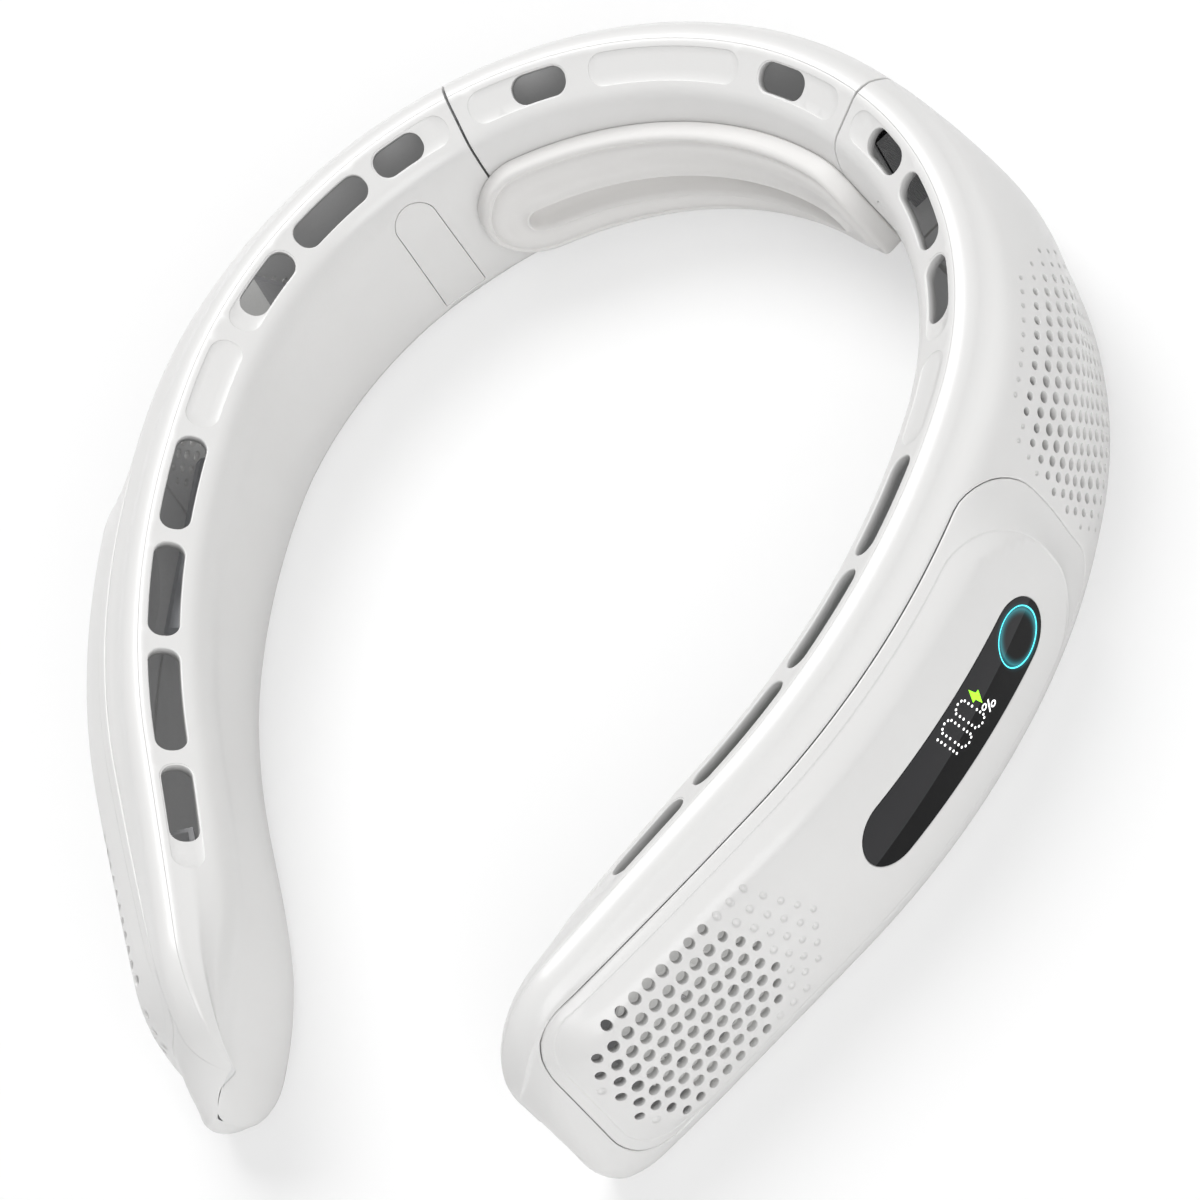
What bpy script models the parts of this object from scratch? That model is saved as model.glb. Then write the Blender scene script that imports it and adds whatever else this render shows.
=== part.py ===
"""Portable neck fan: a U-shaped housing with an air strip on top, two blowers in each arm, arms that splay on
hinges beside the neck, and a display window with a round power button on one arm.

Metres, +Z up. The fan lies as on a table: +Y is the back of the neck, the tips point to -Y and the arm with the
display is at +X. Places on the housing are given by three values: the length along the air strip's line from the
middle of the back, the distance out from that line, and the height over the table. Every arm piece is modelled
on the +X side, and the other arm's pieces are turned over once they are finished.
"""

import math

import bmesh
import bpy
import numpy as np
from mathutils import Matrix, Vector

# The air strip's line, seen from above
BACK_RADIUS = 0.076
ARM_RADIUS = 0.160
ARM_BEND = math.radians(29)
HALF_LENGTH = 0.264

# The housing's section
HEIGHT = 0.0456
WIDTH = 0.030
WALL = 0.002
CAVITY_END = 0.007
TIP_TOP_RADIUS = 0.019
TIP_LOW_RADIUS = 0.011
TIP_TAPER = 0.034
TIP_LIP = 0.004
TIP_EDGE = 0.0008
PARTING_STEP = 0.0009

# Fits shared by all pieces
FIT = 0.0003
SEAM_GAP = 0.0006
OVERRUN = 0.002
FAR = 0.060
SIDES = 14
ROUND_SIDES = 16
SMOOTH_ANGLE = math.radians(35)
PIN_SIDES = 8

# Distances out from the line, as shares of WIDTH, at places along it, as shares of HALF_LENGTH:
# outer wall at its top, middle and foot, then inner wall at its top, middle and foot
WALL_SHARES = (
    (0.00, 0.34, 0.37, 0.38, -0.19, -0.21, -0.10),
    (0.10, 0.36, 0.41, 0.43, -0.19, -0.21, -0.10),
    (0.17, 0.37, 0.47, 0.48, -0.19, -0.21, -0.09),
    (0.22, 0.39, 0.53, 0.53, -0.19, -0.21, -0.09),
    (0.27, 0.40, 0.61, 0.59, -0.19, -0.20, -0.07),
    (0.36, 0.42, 0.67, 0.65, -0.19, -0.19, -0.04),
    (0.45, 0.45, 0.69, 0.72, -0.19, -0.17, 0.00),
    (0.52, 0.45, 0.69, 0.77, -0.19, -0.17, 0.01),
    (0.63, 0.45, 0.69, 0.79, -0.19, -0.16, 0.01),
    (0.76, 0.43, 0.67, 0.77, -0.19, -0.15, -0.02),
    (0.85, 0.40, 0.63, 0.73, -0.17, -0.14, -0.03),
    (0.93, 0.36, 0.59, 0.69, -0.12, -0.09, 0.02),
    (1.00, 0.32, 0.53, 0.63, -0.03, 0.00, 0.10),
)

# Each profile point: how much of the wall's top, middle and foot distance it takes, a further share of WIDTH,
# and its height as a share of HEIGHT. Outer side from the strip's crease down, inner side likewise.
OUTER_SHARES = (
    (0, 0, 0, 0.110, 0.993),
    (0, 0, 0, 0.173, 1.000),
    (0, 0, 0, 0.247, 0.991),
    (0, 0, 0, 0.313, 0.960),
    (1, 0, 0, 0, 0.917),
    (0.48, 0.52, 0, 0, 0.790),
    (0, 1, 0, 0, 0.548),
    (0, 0.4, 0.6, 0, 0.329),
    (0, 0, 1, 0, 0.164),
    (0, 0, 1, -0.017, 0.079),
    (0, 0, 1, -0.073, 0.022),
    (0, 0, 1, -0.167, 0.000),
)
INNER_SHARES = (
    (0, 0, 0, 0.000, 0.943),
    (1, 0, 0, 0.067, 0.888),
    (1, 0, 0, 0.024, 0.851),
    (1, 0, 0, 0, 0.800),
    (0, 1, 0, 0, 0.636),
    (0, 0.75, 0.25, 0, 0.460),
    (0, 0.4, 0.6, 0, 0.263),
    (0, 0, 1, 0, 0.092),
    (0, 0, 1, 0.030, 0.026),
    (0, 0, 1, 0.113, 0.000),
)
FIRST_SIDE_POINT = 3
LAST_SIDE_POINT = 9
CAVITY_POINTS = (0, 2, 4, 6, 8, 10, 11, 12, 14, 16, 18, 19, 21)

# Places where the housing is lofted, as shares of HALF_LENGTH
BACK_STATION_SHARES = (0, 0.035, 0.07, 0.105, 0.14)
ARM_STATION_SHARES = (
    *(0.21, 0.25, 0.29, 0.33, 0.37, 0.41, 0.455, 0.52, 0.60, 0.68, 0.76, 0.85),
    *(0.91, 0.95, 0.98, 1.0),
)
CAVITY_STATION_SHARES = (0.25, 0.31, 0.36, 0.41, 0.455, 0.52, 0.60, 0.68, 0.76, 0.85, 0.91, 0.95)

# Air strip: slots and shallow recesses, as shares of HALF_LENGTH along the line
STRIP_TILT = math.radians(35)
STRIP_HEIGHT_SHARE = 0.943
SLOT_WIDTH = 0.0062
SLOT_CORNER = 0.0022
RECESS_DEPTH = 0.0006
RECESS_MARGIN = 0.0003
BACK_RECESS_SHARES = ((-0.0625, 0.0625),)
BACK_SLOT_SHARES = ((-0.125, -0.080), (0.080, 0.125))
ARM_RECESS_SHARES = ((0.415, 0.489),)
ARM_SLOT_SHARES = (
    (0.2008, 0.2436), (0.2538, 0.322), (0.332, 0.389), (0.4985, 0.578), (0.590, 0.6705), (0.682, 0.7716),
    (0.783, 0.852),
)
SLOT_POINT_STEP = 0.014
SLOT_CORNER_POINTS = 3

# Seam and friction hinge between the back and each arm
SEAM_SHARE = 0.171
END_WALL = 0.0036
HINGE_INSET = 0.0042
HINGE_SPAN_SHARES = (0.263, 0.702)
HINGE_LOW, HINGE_HIGH = (HEIGHT * share for share in HINGE_SPAN_SHARES)
KNUCKLE_RADIUS = 0.0017
POCKET_RADIUS = 0.0022
PIN_RADIUS = 0.0008
PIN_CLEARANCE = 0.0001
PIN_REACH = 0.0002
LEAF_THICKNESS = 0.0012
LEAF_WIDTH = 0.008
LEAF_SINK = 0.0003
MIDDLE_KNUCKLE = 0.0066
WIRE_HOLE_RADIUS = 0.0016
WIRE_HOLE_OUT = -0.0022
WIRE_HOLE_HEIGHT_SHARE = 0.526

# Plate let into the inner wall beside the seam
HINGE_COVER_START = 0.0588
HINGE_COVER_LENGTH = 0.010
HINGE_COVER_SPAN_SHARES = (0.066, 0.789)
HINGE_COVER_LOW, HINGE_COVER_HIGH = (HEIGHT * share for share in HINGE_COVER_SPAN_SHARES)
HINGE_COVER_THICKNESS = 0.0008
HINGE_COVER_FOOT_CORNER = 0.0008
HINGE_COVER_ROW_SHARES = (0.01, 0.08, 0.24, 0.5, 0.76, 0.92, 0.99)
HINGE_COVER_COLUMN_SHARES = (0, 0.33, 0.67, 1)

# Side cover with its shoulder
COVER_START = 0.1284
COVER_END = 0.258
COVER_SPAN_SHARES = (0.1206, 0.921)
COVER_LOW, COVER_HIGH = (HEIGHT * share for share in COVER_SPAN_SHARES)
COVER_CORNERS = (0.012, 0.006, 0.012, 0.010)
COVER_PROUD = 0.0029
COVER_SHOULDERS = (0.010, 0.0035, 0.006, 0.003)
COVER_WALL = 0.0016
COVER_RIM = 0.001
LEDGE = 0.0021
OPENING_REACH = 0.006
SIDE_LEAN = math.radians(16)
COVER_ROW_SHARES = (0, 0.012, 0.04, 0.085, 0.18, 0.36, 0.58, 0.82, 0.96, 0.99, 1.0)
COVER_COLUMN_SHARES = (0, 0.1, 0.37, 0.64, 0.84, 1.0)

# Grilles: hexagonal holes in rows, inside a rounded field
LOWER_GRILLE_CENTRE = 0.2365
LOWER_GRILLE_HEIGHT_SHARE = 0.509
LOWER_GRILLE_HEIGHT = HEIGHT * LOWER_GRILLE_HEIGHT_SHARE
LOWER_GRILLE_REACH = (0.0158, 0.0142)
LOWER_GRILLE_PITCH = (0.0064, 0.0057)
LOWER_HOLE_RADIUS = 0.0021
UPPER_GRILLE_CENTRE = 0.1045
UPPER_GRILLE_HEIGHT_SHARE = 0.4715
UPPER_GRILLE_HEIGHT = HEIGHT * UPPER_GRILLE_HEIGHT_SHARE
UPPER_GRILLE_REACH = (0.0165, 0.0138)
UPPER_GRILLE_PITCH = (0.0066, 0.0060)
UPPER_HOLE_RADIUS = 0.0021
HOLE_SIDES = 6
FIELD_POWER = 3

# Display window, power button, lit ring and the board behind them
BUTTON_PLACE = 0.1509
BUTTON_HEIGHT_SHARE = 0.4693
BUTTON_HEIGHT = HEIGHT * BUTTON_HEIGHT_SHARE
WINDOW_HALF_WIDTH = 0.0064
WINDOW_TAIL = 0.0428
WINDOW_THICKNESS = 0.0008
WINDOW_LEDGE = 0.0008
RING_RADIUS = 0.00525
RING_WIDTH = 0.0005
RING_DEPTH = 0.0012
BUTTON_RADIUS = 0.00445
BUTTON_DEPTH = 0.0017
BUTTON_FLANGE_RADIUS = 0.005
BUTTON_FLANGE = 0.0006
BUTTON_TRAVEL = 0.0004
SWITCH_SIDE = 0.0045
DISPLAY_BOARD_WIDTH = 0.010
DISPLAY_BOARD_THICKNESS = 0.001
DISPLAY_BOARD_LEVEL = 0.0041
DISPLAY_BOARD_OVERHANG = 0.005
BOARD_POST_RADIUS = 0.0014
BOARD_POST_INSET = 0.002
WINDOW_ROW_SHARES = (0.006, 0.03, 0.09, 0.3, 0.5, 0.7, 0.91, 0.97, 0.994)
WINDOW_COLUMN_SHARES = (0, 0.33, 0.67, 1.0)

# Blower: impeller, motor, scroll housing and inlet plate
IMPELLER_RADIUS_SHARE = 0.285
IMPELLER_RADIUS = HEIGHT * IMPELLER_RADIUS_SHARE
IMPELLER_LOW = 0.0019
IMPELLER_PLATE = 0.0008
IMPELLER_HEIGHT = 0.0075
BLADES = 8
BLADE_RADIUS_SHARES = (0.60, 0.977)
BLADE_INNER_RADIUS, BLADE_OUTER_RADIUS = (IMPELLER_RADIUS * share for share in BLADE_RADIUS_SHARES)
BLADE_THICKNESS = 0.0007
BLADE_SWEEP = math.radians(32)
HUB_WALL = 0.0008
HUB_HEIGHT = 0.0055
MOTOR_RADIUS = 0.005
MOTOR_HEIGHT = 0.0046
MOTOR_CLEARANCE = 0.0004
SHAFT_RADIUS = 0.001
SHAFT_CLEARANCE = 0.0001
SHAFT_REACH = 0.0004
SCROLL_CLEARANCE = 0.001
SCROLL_GROWTH = 0.0014
SCROLL_WALL = 0.0009
SCROLL_PLATE = 0.001
SCROLL_DEPTH = 0.010
SCROLL_MOUTH_SHARE = 1.215
SCROLL_MOUTH = IMPELLER_RADIUS * SCROLL_MOUTH_SHARE
SCROLL_POINTS = 12
TONGUE_ANGLE = math.radians(60)
INLET_RADIUS_SHARE = 0.808
INLET_RADIUS = IMPELLER_RADIUS * INLET_RADIUS_SHARE
INLET_PLATE = 0.0008
POST_RADIUS = 0.002
POST_CIRCLE_SHARE = 0.808
POST_CIRCLE = IMPELLER_RADIUS * POST_CIRCLE_SHARE
POST_SIDES = 8
POSTS = 3
SEAT_REACH = 0.016
LOWER_BLOWER_PLACE = 0.232
LOWER_BLOWER_HEIGHT = LOWER_GRILLE_HEIGHT
LOWER_BLOWER_LEVEL = 0.002
UPPER_BLOWER_PLACE = 0.106
UPPER_BLOWER_HEIGHT = UPPER_GRILLE_HEIGHT
UPPER_BLOWER_LEVEL = 0.0073
UPPER_BLOWER_LEAN = math.radians(8)

# Battery, main board and charging inlet
BATTERY_PLACE = 0.149
BATTERY_HEIGHT_SHARE = 0.4496
BATTERY_HEIGHT = HEIGHT * BATTERY_HEIGHT_SHARE
BATTERY_SIZE = (0.042, 0.024, 0.006)
BATTERY_EDGE = 0.0015
BATTERY_STANDOFF = 0.0022
RAIL_WIDTH = 0.004
MAIN_BOARD_PLACE = 0.187
MAIN_BOARD_OUT = 0.004
MAIN_BOARD_LOW = 0.0035
MAIN_BOARD_SIZE = (0.024, 0.026, 0.0012)
INLET_SIZE = (0.0089, 0.0072, 0.0032)
INLET_SHELL = 0.0003
INLET_SINK = 0.0008
INLET_SOCKET_DEPTH = 0.0062

# Neck pad
PAD_HALF_LENGTH = 0.0525
PAD_SPAN_SHARES = (0.1206, 0.7237)
PAD_LOW, PAD_HIGH = (HEIGHT * share for share in PAD_SPAN_SHARES)
PAD_BAND = 0.0105
PAD_POINTS = 24
# Across the band from the slot's edge to the rim, as shares of PAD_BAND, and proud of the wall, of PAD_PROUD
PAD_PROUD = 0.006
PAD_STANDOFF = 0.0004
PAD_SECTION_SHARES = (
    (0.00, 0.00), (0.00, 0.62), (0.10, 0.74), (0.22, 0.62), (0.55, 0.55), (0.84, 0.74), (0.92, 1.00),
    (1.00, 0.86), (1.00, 0.00), (0.50, 0.00),
)

SHELL_WHITE = (0.80, 0.80, 0.79)
PAD_WHITE = (0.78, 0.77, 0.75)
WINDOW_BLACK = (0.012, 0.012, 0.014)
RING_CYAN = (0.10, 0.75, 0.85)
BOARD_GREEN = (0.02, 0.16, 0.07)
INNER_GREY = (0.20, 0.20, 0.21)
METAL_GREY = (0.55, 0.55, 0.56)
CELL_SILVER = (0.45, 0.46, 0.48)


def start_scene():
    """An empty scene with one collection for the parts and one for the cutters."""
    for old in list(bpy.data.objects):
        bpy.data.objects.remove(old)
    parts = bpy.data.collections.new("neck_fan")
    cutters = bpy.data.collections.new("cutters")
    for collection in (parts, cutters):
        bpy.context.scene.collection.children.link(collection)
    cutters.hide_render = True
    return parts, cutters


def material(name, colour, roughness, metallic=0):
    made = bpy.data.materials.new(name)
    made.use_nodes = True
    shader = made.node_tree.nodes["Principled BSDF"]
    shader.inputs["Base Color"].default_value = (*colour, 1)
    shader.inputs["Roughness"].default_value = roughness
    shader.inputs["Metallic"].default_value = metallic
    return made


# Geometry of the housing


def line_point(length):
    """Point of the air strip's line and its outward direction, seen from above."""
    along = abs(length)
    quarter = BACK_RADIUS * math.pi / 2
    turn = min(along, quarter) / BACK_RADIUS
    bend = min(max(along - quarter, 0) / ARM_RADIUS, ARM_BEND)
    rest = max(along - quarter - ARM_RADIUS * ARM_BEND, 0)
    x = BACK_RADIUS * math.sin(turn) - ARM_RADIUS * (1 - math.cos(bend)) - rest * math.sin(bend)
    y = BACK_RADIUS * (math.cos(turn) - 1) - ARM_RADIUS * math.sin(bend) - rest * math.cos(bend)
    out = turn + bend
    hand = math.copysign(1, length)
    return Vector((hand * x, y)), Vector((hand * math.sin(out), math.cos(out)))


def place(length, out, height):
    point, outward = line_point(length)
    flat = point + outward * out
    return Vector((flat.x, flat.y, height))


def smooth_at(x, xs, ys):
    """Cubic through the given values, with the slope at each from its neighbours."""
    slopes = np.gradient(ys, xs)
    i = int(np.clip(np.searchsorted(xs, x) - 1, 0, len(xs) - 2))
    span = xs[i + 1] - xs[i]
    t = (x - xs[i]) / span
    low = (1 + 2 * t) * (1 - t) ** 2 * ys[i] + t * (1 - t) ** 2 * span * slopes[i]
    high = t * t * (3 - 2 * t) * ys[i + 1] + t * t * (t - 1) * span * slopes[i + 1]
    return low + high


def closing(length, radius):
    """How far an end of this radius has closed: 0 before it starts, 1 at the tip."""
    t = min(max((abs(length) - HALF_LENGTH + radius) / radius, 0), 1)
    return 1 - math.sqrt(1 - t * t)


def profile(length, point_shares):
    """One side of the section before the tip's rounding, as distances out and heights."""
    table = np.array(WALL_SHARES)
    along = min(abs(length) / HALF_LENGTH, 1)
    top, middle, foot = (smooth_at(along, table[:, 0], table[:, k]) for k in point_shares[0])
    high = HEIGHT - TIP_TOP_RADIUS * closing(length, TIP_TOP_RADIUS)
    low = TIP_LOW_RADIUS * closing(length, TIP_LOW_RADIUS)
    points = []
    for a, b, c, more, up in point_shares[1]:
        points.append((WIDTH * (a * top + b * middle + c * foot + more), low + up * (high - low)))
    return np.array(points)


def section(length):
    """Outer and inner side of the housing's section, each from the strip down to the foot."""
    outer = profile(length, ((1, 2, 3), OUTER_SHARES))
    inner = profile(length, ((4, 5, 6), INNER_SHARES))
    side = outer[FIRST_SIDE_POINT:LAST_SIDE_POINT + 1][::-1]
    taper = closing(length, TIP_TAPER)
    lip = closing(length, TIP_LIP)
    target = np.interp(inner[:, 1], side[:, 1], side[:, 0]) - TIP_LIP - TIP_EDGE
    inner[:, 0] += (target - inner[:, 0]) * taper
    edge = np.interp(outer[:, 1], side[:, 1], side[:, 0]) - TIP_LIP
    behind = outer[:, 0] < edge
    rounded = edge + (outer[:, 0] - edge) * (1 - lip)
    outer[:, 0] = np.where(behind, outer[:, 0] + (edge - outer[:, 0]) * taper, rounded)
    return outer, inner


def ring(length, inset=0):
    """The section as one closed loop of points, moved inwards by the inset."""
    outer, inner = section(length)
    loop = np.vstack([outer, inner[::-1]])
    if inset:
        before = loop - np.roll(loop, 1, axis=0)
        after = np.roll(loop, -1, axis=0) - loop
        before /= np.linalg.norm(before, axis=1, keepdims=True)
        after /= np.linalg.norm(after, axis=1, keepdims=True)
        normal = before + after
        normal /= np.linalg.norm(normal, axis=1, keepdims=True)
        normal = np.column_stack([normal[:, 1], -normal[:, 0]])
        half = np.sqrt((1 + (before * after).sum(axis=1)) / 2)
        loop = (loop + normal * (inset / half)[:, None])[list(CAVITY_POINTS)]
    return [place(length, out, height) for out, height in loop]


def outer_wall(length, height):
    side = section(length)[0][FIRST_SIDE_POINT:][::-1]
    return float(np.interp(height, side[:, 1], side[:, 0]))


def inner_wall(length, height):
    side = section(length)[1][::-1]
    return float(np.interp(height, side[:, 1], side[:, 0]))


def on_side(length, height, level):
    """Point above the outer wall by the level, square to its lean."""
    out = outer_wall(length, height) + level * math.cos(SIDE_LEAN)
    return place(length, out, height + level * math.sin(SIDE_LEAN))


def on_inside(length, height, level):
    """Point above the inner wall by the level, towards the neck."""
    return place(length, inner_wall(length, height) - level, height)


def upright_frame(length, out, height):
    """X back along the arm, Y up, Z outwards."""
    _, outward = line_point(length)
    z = Vector((outward.x, outward.y, 0))
    y = Vector((0, 0, 1))
    frame = Matrix((y.cross(z), y, z)).transposed().to_4x4()
    frame.translation = place(length, out, height)
    return frame


def leaning_frame(length, height, level, lean=SIDE_LEAN):
    """The upright frame tilted with the side's lean, above the outer wall by the level."""
    frame = upright_frame(length, 0, height) @ Matrix.Rotation(-lean, 4, "X")
    frame.translation = on_side(length, height, level)
    return frame


# Mesh builders


class Bench:
    """Makes objects in the parts collection or among the cutters."""

    def __init__(self, parts, cutters):
        self.parts = parts
        self.cutters = cutters
        self.prefix = ""

    def add(self, name, bm, look=None):
        """Turns a bmesh into an object: a part when it has a material, otherwise a cutter."""
        bmesh.ops.recalc_face_normals(bm, faces=bm.faces)
        mesh = bpy.data.meshes.new(self.prefix + name)
        bm.to_mesh(mesh)
        bm.free()
        made = bpy.data.objects.new(self.prefix + name, mesh)
        if look:
            mesh.materials.append(look)
            self.parts.objects.link(made)
        else:
            made.hide_render = True
            made.display_type = "WIRE"
            self.cutters.objects.link(made)
        return made


def add_loft(bm, rings, closed=False):
    """Faces through rings of equal count, capped at both ends or closed on itself."""
    rows = [[bm.verts.new(point) for point in points] for points in rings]
    pairs = list(zip(rows, rows[1:]))
    if closed:
        pairs.append((rows[-1], rows[0]))
    for near, far in pairs:
        for i in range(len(near)):
            j = (i + 1) % len(near)
            bm.faces.new((near[i], near[j], far[j], far[i]))
    if not closed:
        bm.faces.new(rows[0])
        bm.faces.new(rows[-1])


def loft(rings, closed=False):
    bm = bmesh.new()
    add_loft(bm, rings, closed)
    return bm


def slab(top, under):
    """Closed solid between two grids of the same size."""
    bm = bmesh.new()
    upper = [[bm.verts.new(point) for point in row] for row in top]
    lower = [[bm.verts.new(point) for point in row] for row in under]
    for grid in (upper, lower):
        for near, far in zip(grid, grid[1:]):
            for i in range(len(near) - 1):
                bm.faces.new((near[i], near[i + 1], far[i + 1], far[i]))
    for edge_up, edge_low in zip(border(upper), border(lower)):
        bm.faces.new((edge_up[0], edge_up[1], edge_low[1], edge_low[0]))
    return bm


def border(grid):
    """The grid's outer edges, in order."""
    loop = list(grid[0]) + [row[-1] for row in grid[1:]] + list(grid[-1][-2::-1])
    loop += [row[0] for row in grid[-2:0:-1]]
    return list(zip(loop, loop[1:] + loop[:1]))


def add_box(bm, frame, low, high):
    low, high = Vector(low), Vector(high)
    size = Matrix.Diagonal((*(high - low), 1))
    bmesh.ops.create_cube(bm, size=1, matrix=frame @ Matrix.Translation((low + high) / 2) @ size)


def add_rod(bm, frame, radius, low, high, sides=SIDES, centre=(0, 0)):
    """Cylinder along the frame's Z."""
    middle = Matrix.Translation((*centre, (low + high) / 2))
    bmesh.ops.create_cone(
        bm, cap_ends=True, segments=sides, radius1=radius, radius2=radius, depth=high - low,
        matrix=frame @ middle,
    )


def boxes(frame, pairs):
    bm = bmesh.new()
    for low, high in pairs:
        add_box(bm, frame, low, high)
    return bm


def rod(frame, radius, low, high, sides=SIDES, centre=(0, 0)):
    bm = bmesh.new()
    add_rod(bm, frame, radius, low, high, sides, centre)
    return bm


def apply(target, operation, other, solver="EXACT"):
    """Boolean of the target with a cutter object."""
    step = target.modifiers.new(other.name, "BOOLEAN")
    step.operation = operation
    step.solver = solver
    step.object = other
    return target


def carve(shell, operation, other):
    """Boolean on a lofted shell, where the exact solver loses faces between the thin walls."""
    return apply(shell, operation, other, "MANIFOLD")


def settle(made, origin=None):
    """Applies the modifiers, smooths what is round and puts the object's origin on the given point."""
    graph = bpy.context.evaluated_depsgraph_get()
    mesh = bpy.data.meshes.new_from_object(made.evaluated_get(graph))
    made.modifiers.clear()
    made.data = mesh
    mesh.shade_smooth()
    mesh.set_sharp_from_angle(angle=SMOOTH_ANGLE)
    if origin is not None:
        mesh.transform(Matrix.Translation(-origin))
        made.location = origin
    return made


def turn_over(made):
    """Mirrors a settled object across the middle of the fan."""
    made.data.transform(Matrix.Diagonal((-1, 1, 1, 1)))
    made.data.flip_normals()
    made.location.x = -made.location.x


# Housing


def seam():
    return SEAM_SHARE * HALF_LENGTH


def stations(shares, extra):
    return sorted([share * HALF_LENGTH for share in shares] + list(extra))


def arm_stations():
    return stations(ARM_STATION_SHARES, [seam() + SEAM_GAP / 2])


def back_stations():
    half = stations(BACK_STATION_SHARES, [seam() - SEAM_GAP / 2])
    return [-length for length in half[:0:-1]] + half


def cavity_stations(places, start, end):
    return [start] + [length for length in places if start < length < end] + [end]


def parting_solid(places, shift):
    """Everything outside the surface that parts the outer shell from the inner one."""
    rings = []
    for length in places:
        outer, inner = section(length)
        top = outer[0][0] + PARTING_STEP + shift
        foot = (outer[-1][0] + inner[-1][0]) / 2 + shift
        corners = ((top, HEIGHT + OVERRUN), (FAR, HEIGHT + OVERRUN), (FAR, -OVERRUN), (foot, -OVERRUN))
        rings.append([place(length, out, height) for out, height in corners])
    return loft(rings)


def strip_point(length, across, level):
    """Point on the air strip, across it and above it."""
    out = across * math.cos(STRIP_TILT) - level * math.sin(STRIP_TILT)
    height = STRIP_HEIGHT_SHARE * HEIGHT + across * math.sin(STRIP_TILT) + level * math.cos(STRIP_TILT)
    return place(length, out, height)


def rounded_outline(start, end, half_width, corner, step):
    """Rounded rectangle as points along and across, with its long sides divided."""
    centres = ((end - corner, half_width - corner), (start + corner, half_width - corner))
    centres += ((start + corner, corner - half_width), (end - corner, corner - half_width))
    points = []
    for quarter, (along, across) in enumerate(centres):
        for k in range(SLOT_CORNER_POINTS):
            angle = math.pi / 2 * (quarter + k / (SLOT_CORNER_POINTS - 1))
            points.append((along + corner * math.cos(angle), across + corner * math.sin(angle)))
        if quarter % 2 == 0:
            count = int((end - start) / step)
            after = centres[quarter + 1]
            for k in range(1, count):
                share = k / count
                points.append((along + (after[0] - along) * share, points[-1][1]))
    return points


def strip_cutters(shares, grow, depth):
    """One cutter for a set of slots or recesses in the air strip, grown all round by a margin."""
    bm = bmesh.new()
    for start, end in shares:
        low = start * HALF_LENGTH - grow
        high = end * HALF_LENGTH + grow
        outline = rounded_outline(low, high, SLOT_WIDTH / 2 + grow, SLOT_CORNER + grow, SLOT_POINT_STEP)
        add_loft(bm, [[strip_point(*point, level) for point in outline] for level in (OVERRUN, -depth)])
    return bm


def hinge_axis_out():
    return WIDTH * float(smooth_at(SEAM_SHARE, *np.array(WALL_SHARES)[:, (0, 3)].T)) - HINGE_INSET


def hinge_frame():
    """On the hinge axis at table height: X outwards, Y back along the housing, Z up."""
    point, outward = line_point(seam())
    x = Vector((outward.x, outward.y, 0))
    z = Vector((0, 0, 1))
    frame = Matrix((x, z.cross(x), z)).transposed().to_4x4()
    frame.translation = place(seam(), hinge_axis_out(), 0)
    return frame


def hinge_cutters(bench, hand):
    """Knuckle pocket, leaf recess and wire hole in the end wall: hand 1 for the back, -1 for the arm."""
    frame = hinge_frame()
    pocket = bench.add("hinge_pocket", rod(frame, POCKET_RADIUS, HINGE_LOW - FIT, HINGE_HIGH + FIT))
    deep = hand * (SEAM_GAP / 2 + LEAF_SINK + LEAF_THICKNESS + FIT)
    near = (-LEAF_WIDTH - FIT, min(deep, 0), HINGE_LOW - FIT)
    far = (0, max(deep, 0), HINGE_HIGH + FIT)
    recess = bench.add("leaf_recess", boxes(frame, [(near, far)]))
    along = frame @ Matrix.Translation((WIRE_HOLE_OUT - hinge_axis_out(), 0, WIRE_HOLE_HEIGHT_SHARE * HEIGHT))
    along = along @ Matrix.Rotation(math.pi / 2, 4, "X")
    reach = END_WALL + SEAM_GAP + OVERRUN
    wire = bench.add("wire_hole", rod(along, WIRE_HOLE_RADIUS, -reach, reach, PIN_SIDES))
    return pocket, recess, wire


def back_shells(bench, white):
    places = back_stations()
    ends = END_WALL + SEAM_GAP / 2
    hollow_places = cavity_stations(places, ends - seam(), seam() - ends)
    hollow = bench.add("back_cavity", loft([ring(length, WALL) for length in hollow_places]))
    long_places = [places[0] - OVERRUN, *places[1:-1], places[-1] + OVERRUN]
    outside = bench.add("back_outside", parting_solid(long_places, FIT / 2))
    inside = bench.add("back_inside", parting_solid(long_places, -FIT / 2))
    slots = bench.add("back_slots", strip_cutters(BACK_SLOT_SHARES, 0, WALL + OVERRUN))
    recesses = bench.add("back_recesses", strip_cutters(BACK_RECESS_SHARES, RECESS_MARGIN, RECESS_DEPTH))
    right_cuts = hinge_cutters(bench, 1)
    left_cuts = hinge_cutters(bench, 1)
    for cutter in left_cuts:
        turn_over(cutter)
    outer = bench.add("back_outer_shell", loft([ring(length) for length in places]), white)
    carve(outer, "INTERSECT", outside)
    inner = bench.add("back_inner_shell", loft([ring(length) for length in places]), white)
    carve(inner, "DIFFERENCE", inside)
    for shell in (outer, inner):
        carve(shell, "DIFFERENCE", hollow)
        for cutter in (*right_cuts, *left_cuts):
            carve(shell, "DIFFERENCE", cutter)
    for cutter in (slots, recesses):
        carve(inner, "DIFFERENCE", cutter)
    for shell in (outer, inner):
        settle(shell)


def panel_rows(start, end, low, high, corners, row_shares, column_shares):
    """Rows of places along and up a wall that fill a rectangle with rounded corners.

    The corners are back top, back foot, tip top and tip foot.
    """
    rows = []
    for share in row_shares:
        along = start + share * (end - start)
        top = high - max(bulge(along - start, corners[0]), bulge(end - along, corners[2]))
        foot = low + max(bulge(along - start, corners[1]), bulge(end - along, corners[3]))
        rows.append([(along, foot + column * (top - foot)) for column in column_shares])
    return rows


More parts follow.
